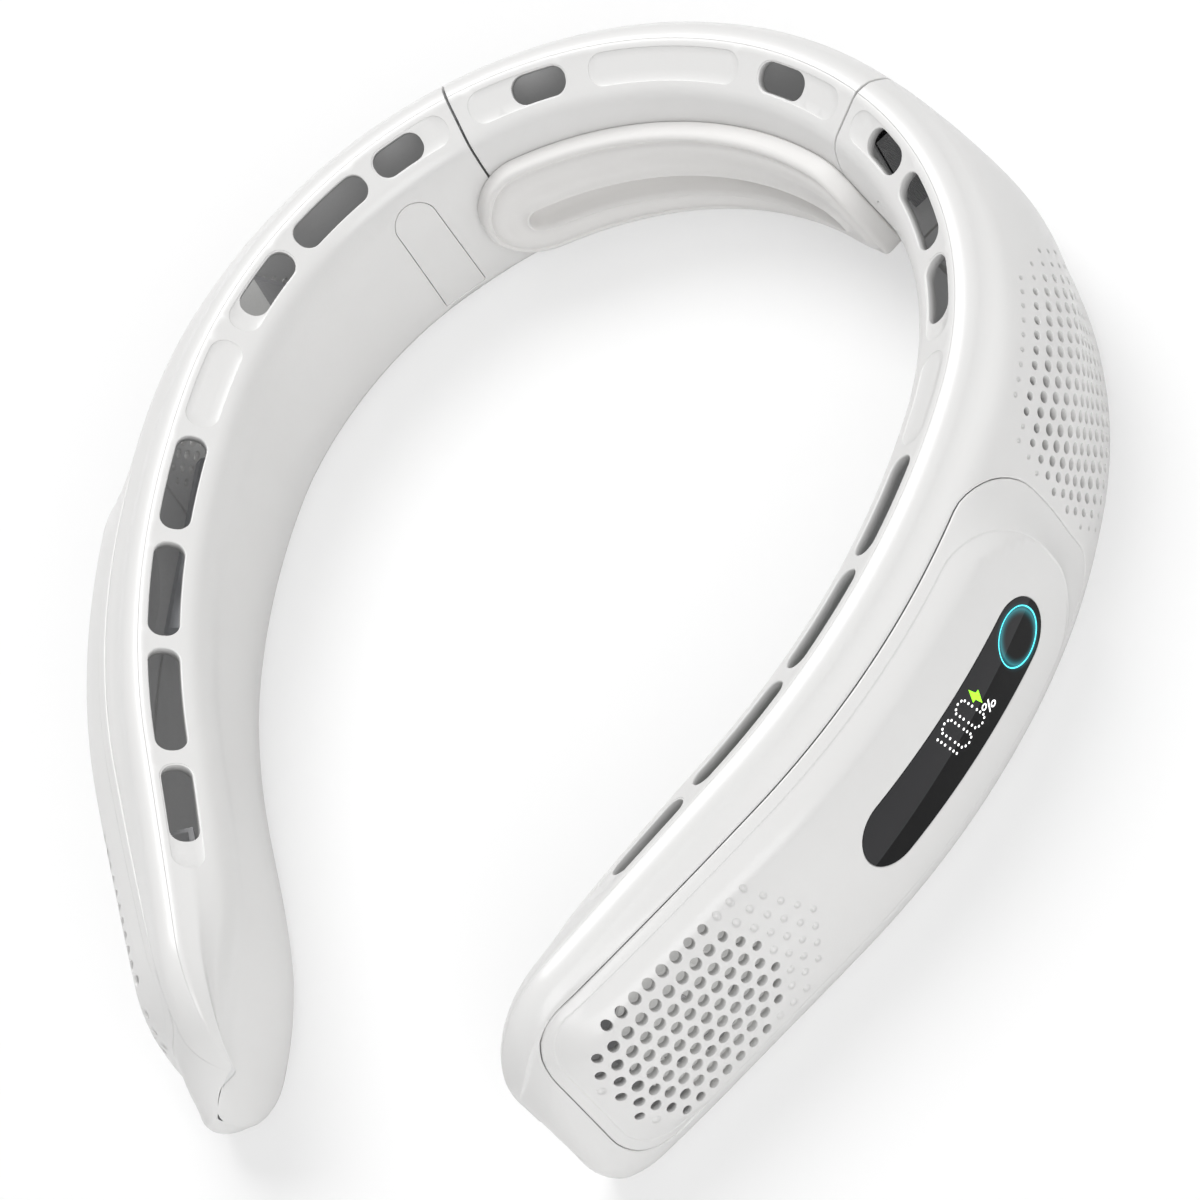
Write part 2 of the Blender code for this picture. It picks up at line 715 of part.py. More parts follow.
def bulge(distance, corner):
    """How far a rounded corner draws the edge in, at this distance from the end."""
    if distance >= corner:
        return 0
    return corner - math.sqrt(max(corner * corner - (corner - distance) ** 2, 0))


def cover_rows(grow):
    corners = [corner + grow for corner in COVER_CORNERS]
    return panel_rows(
        COVER_START - grow, COVER_END + grow, COVER_LOW - grow, COVER_HIGH + grow, corners, COVER_ROW_SHARES,
        COVER_COLUMN_SHARES,
    )


def side_slab(rows, top, under):
    """Solid over the outer wall between two levels."""
    return slab(
        [[on_side(along, height, top) for along, height in row] for row in rows],
        [[on_side(along, height, under) for along, height in row] for row in rows],
    )


def rise(distance, length):
    t = min(max(distance / length, 0), 1)
    return t * t * (3 - 2 * t)


def cover_rise(along, height):
    """Share of the cover's full height at a place on it, lower on its shoulders."""
    distances = (along - COVER_START, COVER_END - along, COVER_HIGH - height, height - COVER_LOW)
    shares = [rise(distance, length) for distance, length in zip(distances, COVER_SHOULDERS)]
    return shares[0] * shares[1] * shares[2] * shares[3]


def grille_cutters(centre, height, reach, pitch, radius, depth):
    """Prisms through the side wall, in staggered rows inside a rounded field."""
    bm = bmesh.new()
    columns = int(reach[0] / pitch[0]) + 1
    rows = int(reach[1] / pitch[1]) + 1
    for row in range(-rows, rows + 1):
        for column in range(-columns, columns + 1):
            along = (column + (row % 2) / 2) * pitch[0]
            up = row * pitch[1]
            if abs(along / reach[0]) ** FIELD_POWER + abs(up / reach[1]) ** FIELD_POWER > 1:
                continue
            frame = leaning_frame(centre + along, height + up, 0)
            add_rod(bm, frame, radius, -depth, COVER_PROUD + depth, HOLE_SIDES)
    return bm


def side_cover(bench, white, display):
    rows = cover_rows(0)
    top, under = [], []
    for row in rows:
        shares = [cover_rise(along, height) for along, height in row]
        top.append([on_side(a, h, COVER_PROUD * share) for (a, h), share in zip(row, shares)])
        walls = [COVER_RIM + (COVER_WALL - COVER_RIM) * share for share in shares]
        under.append([on_side(a, h, COVER_PROUD * s - wall) for (a, h), s, wall in zip(row, shares, walls)])
    cover = bench.add("side_cover", slab(top, under), white)
    holes = grille_cutters(
        LOWER_GRILLE_CENTRE, LOWER_GRILLE_HEIGHT, LOWER_GRILLE_REACH, LOWER_GRILLE_PITCH, LOWER_HOLE_RADIUS,
        COVER_PROUD + WALL,
    )
    apply(cover, "DIFFERENCE", bench.add("lower_grille_holes", holes))
    if display:
        fit_display(bench, cover)
    return settle(cover)


def arm_shells(bench, white, display):
    places = arm_stations()
    start = seam() + SEAM_GAP / 2
    between = [share * HALF_LENGTH for share in CAVITY_STATION_SHARES]
    hollow_places = cavity_stations(between, start + END_WALL, HALF_LENGTH - CAVITY_END)
    hollow = bench.add("cavity", loft([ring(length, WALL) for length in hollow_places]))
    carve(hollow, "DIFFERENCE", bench.add("seats", seats(display)))
    long_places = [start - OVERRUN, *places[1:-1], HALF_LENGTH + OVERRUN]
    outside = bench.add("outside", parting_solid(long_places, FIT / 2))
    inside = bench.add("inside", parting_solid(long_places, -FIT / 2))
    outer = bench.add("outer_shell", loft([ring(length) for length in places]), white)
    inner = bench.add("inner_shell", loft([ring(length) for length in places]), white)
    carve(outer, "INTERSECT", outside)
    carve(inner, "DIFFERENCE", inside)
    hinge_cuts = hinge_cutters(bench, -1)
    for shell in (outer, inner):
        carve(shell, "DIFFERENCE", hollow)
        for cutter in hinge_cuts:
            carve(shell, "DIFFERENCE", cutter)
    seat = bench.add("cover_seat", side_slab(cover_rows(FIT), COVER_PROUD + OVERRUN, -COVER_RIM - FIT))
    opening = bench.add("cover_opening", side_slab(cover_rows(-LEDGE), COVER_PROUD, -OPENING_REACH))
    holes = grille_cutters(
        UPPER_GRILLE_CENTRE, UPPER_GRILLE_HEIGHT, UPPER_GRILLE_REACH, UPPER_GRILLE_PITCH, UPPER_HOLE_RADIUS,
        WALL + OVERRUN,
    )
    for cutter in (seat, opening, bench.add("upper_grille_holes", holes)):
        carve(outer, "DIFFERENCE", cutter)
    inner_cuts = [
        bench.add("slots", strip_cutters(ARM_SLOT_SHARES, 0, WALL + OVERRUN)),
        bench.add("recesses", strip_cutters(ARM_RECESS_SHARES, RECESS_MARGIN, RECESS_DEPTH)),
        bench.add("hinge_cover_seat", hinge_cover_slab(FIT, OVERRUN, -HINGE_COVER_THICKNESS - FIT)),
    ]
    if display:
        inner_cuts.append(bench.add("plug_opening", plug_opening()))
    for cutter in inner_cuts:
        carve(inner, "DIFFERENCE", cutter)
    settle(outer)
    settle(inner)


# Hinge


def hinge_cover_slab(grow, top, under):
    half = HINGE_COVER_LENGTH / 2
    rows = panel_rows(
        HINGE_COVER_START - grow, HINGE_COVER_START + HINGE_COVER_LENGTH + grow, HINGE_COVER_LOW - grow,
        HINGE_COVER_HIGH + grow, (half, HINGE_COVER_FOOT_CORNER, half, HINGE_COVER_FOOT_CORNER),
        HINGE_COVER_ROW_SHARES, HINGE_COVER_COLUMN_SHARES,
    )
    return slab(
        [[on_inside(along, height, top) for along, height in row] for row in rows],
        [[on_inside(along, height, under) for along, height in row] for row in rows],
    )


def hinge_leaf(bench, name, metal, hand, spans):
    """Flat leaf let into an end wall, with a tongue and a knuckle at each span of heights."""
    frame = hinge_frame()
    near = hand * (SEAM_GAP / 2 + LEAF_SINK)
    deep = near + hand * LEAF_THICKNESS
    back, front = min(near, deep), max(near, deep)
    outline = [(-LEAF_WIDTH, HINGE_HIGH), (-LEAF_WIDTH, HINGE_LOW), (-POCKET_RADIUS, HINGE_LOW)]
    for low, high in spans:
        inset = FIT / 2
        outline += [(-POCKET_RADIUS, low + inset), (0, low + inset)]
        outline += [(0, high - inset), (-POCKET_RADIUS, high - inset)]
    outline.append((-POCKET_RADIUS, HINGE_HIGH))
    rings = [[frame @ Vector((x, y, z)) for x, z in outline] for y in (back, front)]
    leaf = bench.add(name, loft(rings), metal)
    knuckles = bmesh.new()
    for low, high in spans:
        add_rod(knuckles, frame, KNUCKLE_RADIUS, low, high, PIN_SIDES)
    bore = rod(frame, PIN_RADIUS + PIN_CLEARANCE, HINGE_LOW - OVERRUN, HINGE_HIGH + OVERRUN, PIN_SIDES)
    apply(leaf, "UNION", bench.add(name + "_knuckles", knuckles))
    apply(leaf, "DIFFERENCE", bench.add(name + "_bore", bore))
    return settle(leaf, frame.translation)


def hinge(bench, white, metal):
    middle = (HINGE_LOW + HINGE_HIGH) / 2
    below = middle - MIDDLE_KNUCKLE / 2
    above = middle + MIDDLE_KNUCKLE / 2
    hinge_leaf(bench, "hinge_leaf_arm", metal, -1, [(below, above)])
    hinge_leaf(bench, "hinge_leaf_back", metal, 1, [(HINGE_LOW, below - FIT), (above + FIT, HINGE_HIGH)])
    frame = hinge_frame()
    pin = rod(frame, PIN_RADIUS, HINGE_LOW - PIN_REACH, HINGE_HIGH + PIN_REACH, PIN_SIDES)
    settle(bench.add("hinge_pin", pin, metal), frame.translation)
    settle(bench.add("hinge_cover", hinge_cover_slab(0, 0, -HINGE_COVER_THICKNESS), white))


# Blowers


def blower_frame(length, height, level, lean):
    """At the middle of the scroll's back face: X back along the arm, Y up, Z towards the grille."""
    frame = leaning_frame(length, height, -level, lean)
    return frame @ Matrix.Translation((0, 0, -SCROLL_DEPTH - FIT - INLET_PLATE))


def scroll_outline(clearance, mouth):
    """Spiral that widens towards a mouth facing up, at this distance outside the impeller."""
    start = IMPELLER_RADIUS + clearance
    turns = SCROLL_POINTS
    points = []
    for k in range(turns + 1):
        angle = TONGUE_ANGLE + (2 * math.pi - TONGUE_ANGLE) * k / turns
        radius = start + SCROLL_GROWTH * k / turns
        points.append((radius * math.cos(angle), radius * math.sin(angle)))
    points.append((start + SCROLL_GROWTH, mouth))
    points.append((points[0][0], mouth))
    return points


def prism(frame, outline, low, high):
    return loft([[frame @ Vector((x, y, z)) for x, y in outline] for z in (low, high)])


def scroll(bench, name, frame, look):
    outer = scroll_outline(SCROLL_CLEARANCE + SCROLL_WALL, SCROLL_MOUTH)
    hollow = scroll_outline(SCROLL_CLEARANCE, SCROLL_MOUTH + OVERRUN)
    housing = bench.add(name + "_volute", prism(frame, outer, 0, SCROLL_DEPTH), look)
    inside = prism(frame, hollow, SCROLL_PLATE, SCROLL_DEPTH + OVERRUN)
    apply(housing, "DIFFERENCE", bench.add(name + "_volute_hollow", inside))
    settle(housing)
    low = SCROLL_DEPTH + FIT
    lid = bench.add(name + "_inlet_plate", prism(frame, outer, low, low + INLET_PLATE), look)
    inlet = rod(frame, INLET_RADIUS, low - OVERRUN, low + INLET_PLATE + OVERRUN)
    apply(lid, "DIFFERENCE", bench.add(name + "_inlet", inlet))
    settle(lid)


def motor(bench, name, frame, metal):
    low = SCROLL_PLATE + FIT
    body = bench.add(name + "_motor", rod(frame, MOTOR_RADIUS, low, low + MOTOR_HEIGHT), metal)
    top = IMPELLER_LOW + HUB_HEIGHT + SHAFT_REACH
    apply(body, "UNION", bench.add(name + "_shaft", rod(frame, SHAFT_RADIUS, low + FIT, top, PIN_SIDES)))
    settle(body)


def blade_outline(start):
    """One swept blade, seen along the axis."""
    inner, outer = BLADE_INNER_RADIUS, BLADE_OUTER_RADIUS
    half = BLADE_THICKNESS / 2
    points = []
    for side, radii in ((1, (inner, outer)), (-1, (outer, inner))):
        for radius in radii:
            share = (radius - inner) / (outer - inner)
            angle = start + BLADE_SWEEP * share + side * half / radius
            points.append((radius * math.cos(angle), radius * math.sin(angle)))
    return points


def impeller(bench, name, frame, look):
    hub = MOTOR_RADIUS + MOTOR_CLEARANCE
    low = IMPELLER_LOW
    wheel = bench.add(name + "_impeller", rod(frame, IMPELLER_RADIUS, low, low + IMPELLER_PLATE), look)
    blades = bmesh.new()
    for k in range(BLADES):
        outline = blade_outline(2 * math.pi * k / BLADES)
        levels = (low + IMPELLER_PLATE / 2, low + IMPELLER_HEIGHT)
        add_loft(blades, [[frame @ Vector((x, y, z)) for x, y in outline] for z in levels])
    apply(wheel, "UNION", bench.add(name + "_hub", rod(frame, hub + HUB_WALL, low, low + HUB_HEIGHT)))
    apply(wheel, "UNION", bench.add(name + "_blades", blades))
    cup = rod(frame, hub, low - OVERRUN, low + HUB_HEIGHT - HUB_WALL)
    apply(wheel, "DIFFERENCE", bench.add(name + "_hub_hollow", cup))
    bore = rod(frame, SHAFT_RADIUS + SHAFT_CLEARANCE, low, low + HUB_HEIGHT + OVERRUN, PIN_SIDES)
    apply(wheel, "DIFFERENCE", bench.add(name + "_hub_bore", bore))
    settle(wheel, frame @ Vector((0, 0, low)))


def blower(bench, name, frame, looks):
    scroll(bench, name, frame, looks["inner"])
    motor(bench, name, frame, looks["metal"])
    impeller(bench, name, frame, looks["inner"])


def lower_blower_frame():
    return blower_frame(LOWER_BLOWER_PLACE, LOWER_BLOWER_HEIGHT, LOWER_BLOWER_LEVEL, SIDE_LEAN)


def upper_blower_frame():
    return blower_frame(UPPER_BLOWER_PLACE, UPPER_BLOWER_HEIGHT, UPPER_BLOWER_LEVEL, UPPER_BLOWER_LEAN)


def seats(display):
    """Posts and rails left standing on the inner wall behind the blowers, battery and board."""
    bm = bmesh.new()
    for frame in (lower_blower_frame(), upper_blower_frame()):
        for k in range(POSTS):
            angle = math.pi / 2 + 2 * math.pi * k / POSTS
            centre = (POST_CIRCLE * math.cos(angle), POST_CIRCLE * math.sin(angle))
            add_rod(bm, frame, POST_RADIUS, -SEAT_REACH, -FIT, POST_SIDES, centre)
    length, tall, _ = BATTERY_SIZE
    for end in (-1, 1):
        middle = end * (length / 2 - RAIL_WIDTH)
        low = (middle - RAIL_WIDTH / 2, -tall / 2, -SEAT_REACH)
        high = (middle + RAIL_WIDTH / 2, tall / 2, -FIT)
        add_box(bm, battery_frame(), low, high)
    if display:
        length, tall, _ = MAIN_BOARD_SIZE
        for end in (-1, 1):
            centre = (end * (length / 2 - POST_RADIUS), tall - 2 * POST_RADIUS)
            add_rod(bm, main_board_frame(), POST_RADIUS, -SEAT_REACH, -FIT, POST_SIDES, centre)
            centre = (end * (length / 2 - POST_RADIUS), 2 * POST_RADIUS)
            add_rod(bm, main_board_frame(), POST_RADIUS, -SEAT_REACH, -FIT, POST_SIDES, centre)
    return bm


# Battery, boards and charging inlet


def battery_frame():
    """At the middle of the cell's back face, which stands off the inner wall."""
    out = inner_wall(BATTERY_PLACE, BATTERY_HEIGHT) + WALL + BATTERY_STANDOFF
    return upright_frame(BATTERY_PLACE, out, BATTERY_HEIGHT) @ Matrix.Rotation(-SIDE_LEAN / 2, 4, "X")


def battery(bench, look):
    length, tall, thick = BATTERY_SIZE
    low = (-length / 2, -tall / 2, 0)
    cell = bench.add("battery", boxes(battery_frame(), [(low, (length / 2, tall / 2, thick))]), look)
    edge = cell.modifiers.new("rounded edges", "BEVEL")
    edge.width = BATTERY_EDGE
    edge.segments = 1
    settle(cell)


def main_board_frame():
    return upright_frame(MAIN_BOARD_PLACE, MAIN_BOARD_OUT, MAIN_BOARD_LOW)


def inlet_box(grow):
    """Low and high corner of the charging inlet in the board's frame, or of its opening when grown."""
    length, tall, thick = INLET_SIZE
    base = MAIN_BOARD_SIZE[2] + FIT
    bottom = INLET_SINK - MAIN_BOARD_LOW
    low = (-length / 2 - grow, bottom - grow, base - grow)
    return low, (length / 2 + grow, bottom + tall + grow, base + thick + grow)


def plug_opening():
    low, high = inlet_box(FIT)
    below = (low[0], -MAIN_BOARD_LOW - OVERRUN, low[2])
    above = (high[0], low[1] + WALL + OVERRUN, high[2])
    return boxes(main_board_frame(), [(below, above)])


def control_board(bench, looks):
    length, tall, thick = MAIN_BOARD_SIZE
    frame = main_board_frame()
    board = ((-length / 2, 0, 0), (length / 2, tall, thick))
    settle(bench.add("main_board", boxes(frame, [board]), looks["board"]))
    low, high = inlet_box(0)
    inlet = bench.add("charging_inlet", boxes(frame, [(low, high)]), looks["metal"])
    socket_low = (low[0] + INLET_SHELL, low[1] - OVERRUN, low[2] + INLET_SHELL)
    socket_high = (high[0] - INLET_SHELL, low[1] + INLET_SOCKET_DEPTH, high[2] - INLET_SHELL)
    apply(inlet, "DIFFERENCE", bench.add("plug_socket", boxes(frame, [(socket_low, socket_high)])))
    settle(inlet)


# Display


def window_rows(grow):
    half = WINDOW_HALF_WIDTH + grow
    return panel_rows(
        BUTTON_PLACE - half, BUTTON_PLACE + WINDOW_TAIL + grow, BUTTON_HEIGHT - half, BUTTON_HEIGHT + half,
        (half, half, half, half), WINDOW_ROW_SHARES, WINDOW_COLUMN_SHARES,
    )


def button_frame():
    return leaning_frame(BUTTON_PLACE, BUTTON_HEIGHT, COVER_PROUD)


def display_board_frame():
    """At the middle of the board's front face: X back along the board, Z outwards."""
    start = BUTTON_PLACE - DISPLAY_BOARD_OVERHANG
    end = BUTTON_PLACE + WINDOW_TAIL - DISPLAY_BOARD_OVERHANG
    near, far = (on_side(length, BUTTON_HEIGHT, COVER_PROUD - DISPLAY_BOARD_LEVEL) for length in (start, end))
    x = (near - far).normalized()
    z = leaning_frame((start + end) / 2, BUTTON_HEIGHT, 0).col[2].to_3d()
    y = z.cross(x).normalized()
    frame = Matrix((x, y, x.cross(y))).transposed().to_4x4()
    frame.translation = (near + far) / 2
    return frame, (near - far).length


def fit_display(bench, cover):
    """Cuts the window's seat and opening in the cover, and adds the posts that carry the board."""
    seat = side_slab(window_rows(FIT), COVER_PROUD + OVERRUN, COVER_PROUD - WINDOW_THICKNESS - FIT)
    opening = side_slab(window_rows(-WINDOW_LEDGE), COVER_PROUD, -WALL)
    frame, length = display_board_frame()
    posts = bmesh.new()
    for end in (-1, 1):
        centre = (end * (length / 2 - BOARD_POST_INSET), DISPLAY_BOARD_WIDTH / 2 - BOARD_POST_RADIUS)
        top = DISPLAY_BOARD_LEVEL - COVER_WALL / 2
        add_rod(posts, frame, BOARD_POST_RADIUS, FIT, top, POST_SIDES, centre)
    apply(cover, "UNION", bench.add("board_posts", posts))
    apply(cover, "DIFFERENCE", bench.add("window_seat", seat))
    apply(cover, "DIFFERENCE", bench.add("window_opening", opening))


def display(bench, looks):
    frame = button_frame()
    pane = side_slab(window_rows(0), COVER_PROUD, COVER_PROUD - WINDOW_THICKNESS)
    window = bench.add("display_window", pane, looks["window"])
    hole = rod(frame, RING_RADIUS + FIT, -WINDOW_THICKNESS - OVERRUN, OVERRUN, ROUND_SIDES)
    apply(window, "DIFFERENCE", bench.add("ring_hole", hole))
    settle(window)
    light = bench.add("light_ring", rod(frame, RING_RADIUS, -RING_DEPTH, 0, ROUND_SIDES), looks["ring"])
    inside = rod(frame, RING_RADIUS - RING_WIDTH, -RING_DEPTH - OVERRUN, OVERRUN, ROUND_SIDES)
    apply(light, "DIFFERENCE", bench.add("ring_inside", inside))
    settle(light)
    under = -BUTTON_DEPTH
    button = bench.add("power_button", rod(frame, BUTTON_RADIUS, under, 0, ROUND_SIDES), looks["window"])
    flange = rod(frame, BUTTON_FLANGE_RADIUS, under - BUTTON_FLANGE, under + FIT / 2, ROUND_SIDES)
    apply(button, "UNION", bench.add("button_flange", flange))
    settle(button, frame.translation)
    board_frame, length = display_board_frame()
    half = DISPLAY_BOARD_WIDTH / 2
    board = ((-length / 2, -half, -DISPLAY_BOARD_THICKNESS), (length / 2, half, 0))
    settle(bench.add("display_board", boxes(board_frame, [board]), looks["board"]))
    place_of_button = board_frame.inverted() @ (frame @ Vector((0, 0, -BUTTON_DEPTH - BUTTON_FLANGE)))
    side = SWITCH_SIDE / 2
    low = (place_of_button.x - side, place_of_button.y - side, FIT)
    high = (place_of_button.x + side, place_of_button.y + side, place_of_button.z - BUTTON_TRAVEL - FIT)
    settle(bench.add("button_switch", boxes(board_frame, [(low, high)]), looks["inner"]))


# Neck pad


def pad_outline(inset):
    """Long loop with round ends on the inner wall, drawn in by the inset."""
    half_height = (PAD_HIGH - PAD_LOW) / 2
    radius = half_height - inset
    straight = PAD_HALF_LENGTH - half_height
    middle = (PAD_HIGH + PAD_LOW) / 2
    ends = PAD_POINTS // 4
    sides = PAD_POINTS // 4
    points = []
    for hand in (1, -1):
        for k in range(ends):
            angle = math.pi * (k / (ends - 1) - 1 / 2)
            along = straight + radius * math.cos(angle)
            points.append((hand * along, middle + hand * radius * math.sin(angle)))
        for k in range(1, sides):
            points.append((hand * straight * (1 - 2 * k / sides), middle + hand * radius))
    return points


def neck_pad(bench, look):
    loops = []
    for across, proud in PAD_SECTION_SHARES:
        outline = pad_outline(PAD_BAND * (1 - across))
        loops.append([on_inside(length, height, PAD_STANDOFF + PAD_PROUD * proud) for length, height in outline])
    rings = [[loop[k] for loop in loops] for k in range(len(loops[0]))]
    settle(bench.add("neck_pad", loft(rings, closed=True), look))


def build_arm(bench, looks, prefix, with_display, mirrored):
    """All pieces of one arm."""
    bench.prefix = prefix
    before = set(bench.parts.objects)
    arm_shells(bench, looks["white"], with_display)
    side_cover(bench, looks["white"], with_display)
    hinge(bench, looks["white"], looks["metal"])
    blower(bench, "lower", lower_blower_frame(), looks)
    blower(bench, "upper", upper_blower_frame(), looks)
    battery(bench, looks["cell"])
    bench.prefix = ""
    if with_display:
        control_board(bench, looks)
        display(bench, looks)
    if mirrored:
        for made in set(bench.parts.objects) - before:
            turn_over(made)


def stand_on_origin(collections):
    """Moves all objects so that the origin is under the middle of the parts' common box."""
    bpy.context.view_layer.update()
    parts, _ = collections
    corners = [made.matrix_world @ Vector(corner) for made in parts.objects for corner in made.bound_box]
    low = Vector(min(corner[axis] for corner in corners) for axis in range(3))
    high = Vector(max(corner[axis] for corner in corners) for axis in range(3))
    shift = Vector(((low.x + high.x) / 2, (low.y + high.y) / 2, low.z))
    for collection in collections:
        for made in collection.objects:
            made.location -= shift


def main():
    collections = start_scene()
    bench = Bench(*collections)
    looks = {
        "white": material("white shell", SHELL_WHITE, 0.4),
        "pad": material("pad silicone", PAD_WHITE, 0.7),
        "window": material("black window", WINDOW_BLACK, 0.08),
        "ring": material("lit ring", RING_CYAN, 0.3),
        "board": material("circuit board", BOARD_GREEN, 0.5),
        "inner": material("inner plastic", INNER_GREY, 0.5),
        "metal": material("steel", METAL_GREY, 0.3, 1),
        "cell": material("cell wrap", CELL_SILVER, 0.45),
    }
    back_shells(bench, looks["white"])
    neck_pad(bench, looks["pad"])
    build_arm(bench, looks, "left_", True, False)
    build_arm(bench, looks, "right_", False, True)
    stand_on_origin(collections)


main()
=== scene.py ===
"""White bladeless neck fan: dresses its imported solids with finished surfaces, and sets the stage for them.

Places on the housing are in millimetres: s along its middle line from the back, v round its section,
h over the table, and level off its surface.
"""
from math import cos, pi, radians, sin

import bpy
import numpy as np
from mathutils import Matrix, Vector
from mathutils.geometry import delaunay_2d_cdt
from mathutils.kdtree import KDTree


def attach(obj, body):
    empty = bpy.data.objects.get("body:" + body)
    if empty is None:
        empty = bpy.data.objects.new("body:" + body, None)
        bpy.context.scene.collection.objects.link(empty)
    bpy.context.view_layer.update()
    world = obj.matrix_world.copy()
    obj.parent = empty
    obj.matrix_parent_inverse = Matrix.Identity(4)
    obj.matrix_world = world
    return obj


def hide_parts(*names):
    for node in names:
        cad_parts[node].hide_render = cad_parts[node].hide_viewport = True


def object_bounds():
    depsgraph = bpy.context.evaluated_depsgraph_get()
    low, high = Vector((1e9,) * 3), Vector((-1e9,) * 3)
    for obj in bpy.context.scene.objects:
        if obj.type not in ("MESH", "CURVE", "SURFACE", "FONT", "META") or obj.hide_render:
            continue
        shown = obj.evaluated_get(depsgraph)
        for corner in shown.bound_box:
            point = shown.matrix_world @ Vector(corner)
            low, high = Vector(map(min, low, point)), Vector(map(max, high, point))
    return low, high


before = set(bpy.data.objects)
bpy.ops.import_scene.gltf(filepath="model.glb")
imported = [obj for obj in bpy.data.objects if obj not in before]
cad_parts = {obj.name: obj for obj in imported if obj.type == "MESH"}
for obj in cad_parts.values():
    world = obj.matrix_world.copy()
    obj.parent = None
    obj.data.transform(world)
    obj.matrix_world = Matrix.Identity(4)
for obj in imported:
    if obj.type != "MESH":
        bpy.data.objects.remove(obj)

bl_info = {
    "name": "Neck fan surfaces",
    "version": (1, 0, 0),
    "blender": (4, 5, 0),
    "location": "3D View > Sidebar > Neck fan",
    "description": "Builds the shells, covers, pad and display of a bladeless neck fan",
    "category": "Object",
}

CAD_BOX = [list(corner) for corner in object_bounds()]
MM = 0.001

# The middle line of the housing and its section
BACK_RADIUS = 76.0
ARM_RADIUS = 160.0
ARM_BEND = radians(29)
HALF_LENGTH = 264.0
HEIGHT = 45.6
WIDTH = 30.0
WALL = 2.0
WALL_FADE = 8.0
THINNEST_SHARE = 0.012
GAP_FADE = 7.0
TIP_FINE = 12.0
TIP_TOP_RADIUS = 19.0
TIP_LOW_RADIUS = 11.0
TIP_TAPER = 34.0
TIP_LIP = 4.0
TIP_EDGE = 0.8
BACK_OUTER_SHARE = 0.38
LINE_BACK = CAD_BOX[1][1] / MM - WIDTH * BACK_OUTER_SHARE

# Walls along half the line: share of the length, then outer top, middle and foot, inner top, middle and
# foot, as shares of WIDTH off the middle line
WALL_SHARES = (
    (0.00, 0.34, 0.37, 0.38, -0.19, -0.21, -0.10), (0.10, 0.36, 0.41, 0.43, -0.19, -0.21, -0.10),
    (0.17, 0.37, 0.47, 0.48, -0.19, -0.21, -0.09), (0.22, 0.39, 0.53, 0.53, -0.19, -0.21, -0.09),
    (0.27, 0.40, 0.61, 0.59, -0.19, -0.20, -0.07), (0.36, 0.42, 0.67, 0.65, -0.19, -0.19, -0.04),
    (0.45, 0.45, 0.69, 0.72, -0.19, -0.17, 0.00), (0.52, 0.45, 0.69, 0.77, -0.19, -0.17, 0.01),
    (0.63, 0.45, 0.69, 0.79, -0.19, -0.16, 0.01), (0.76, 0.43, 0.67, 0.77, -0.19, -0.15, -0.02),
    (0.85, 0.40, 0.63, 0.73, -0.17, -0.14, -0.03), (0.93, 0.36, 0.59, 0.69, -0.12, -0.09, 0.02),
    (1.00, 0.32, 0.53, 0.63, -0.03, 0.00, 0.10),
)
# Corners of the section from the strip down: shares of the top, middle and foot wall, a share of WIDTH
# added to them, and the share of the height
OUTER_SHARES = (
    (0, 0, 0, 0.110, 0.993), (0, 0, 0, 0.173, 1.000), (0, 0, 0, 0.247, 0.991), (0, 0, 0, 0.313, 0.960),
    (1, 0, 0, 0, 0.917), (0.48, 0.52, 0, 0, 0.790), (0, 1, 0, 0, 0.548), (0, 0.4, 0.6, 0, 0.329),
    (0, 0, 1, 0, 0.164), (0, 0, 1, -0.017, 0.079), (0, 0, 1, -0.073, 0.022), (0, 0, 1, -0.167, 0.000),
)
INNER_SHARES = (
    (0, 0, 0, 0.000, 0.943), (1, 0, 0, 0.067, 0.888), (1, 0, 0, 0.024, 0.851), (1, 0, 0, 0, 0.800),
    (0, 1, 0, 0, 0.636), (0, 0.75, 0.25, 0, 0.460), (0, 0.4, 0.6, 0, 0.263), (0, 0, 1, 0, 0.092),
    (0, 0, 1, 0.030, 0.026), (0, 0, 1, 0.113, 0.000),
)
FIRST_SIDE_CORNER = 3
LAST_SIDE_CORNER = 9

# Parts that the rounding inside the strip and the strip itself are cut into, the spacing of the sections,
# and places on them
ROUNDING_PARTS = 3
STRIP_PARTS = 4
SECTION_STEP = 0.5
TIP_SECTION_STEP = 0.1
NOMINAL_PLACE = 119.0
SEAM_PLACE = 45.14
PARTING_STEP = 0.92
HEIGHT_STEP = 0.5

# How plates are cut: spacing of points along and across, how clear of loops they stay, and the sharpest
# angle that is shaded smooth
ALONG_STEP = 2.2
ARM_STEP = 2.6
TIP_STEP = 1.5
ACROSS_STEP = 1.5
CLEAR = 0.7
EDGE_ANGLE = radians(38)
FINE_EDGE = 0.1
POCKET_DRAFT = 0.06
DIMPLE_WAIST = (0.62, 0.75)

# The air strip on top: recesses and open slots, from and to along the line
BACK_RECESSES = ((-42.2, -21.2), (-16.5, 16.5), (21.2, 42.2))
BACK_SLOTS = ((-33.0, -21.4), (21.4, 33.0))
ARM_RECESSES = ((47.3, 64.3), (87.7, 106.4), (109.5, 129.1), (206.8, 230.7))
ARM_SLOTS = (
    (53.0, 64.1), (67.0, 85.0), (87.9, 102.7), (131.6, 152.6), (155.7, 177.0), (180.0, 203.7), (207.0, 224.9),
)
SLOT_HALF_WIDTH = 3.0
RECESS_HALF_WIDTH = 3.3
RECESS_DEPTH = 0.14
RECESS_LIP = 0.1
SLOT_INSET = 0.12
INLET = (182.25, 191.75, 2.2, 5.8)
INLET_CORNER = 1.0
INLET_EDGE = 0.15

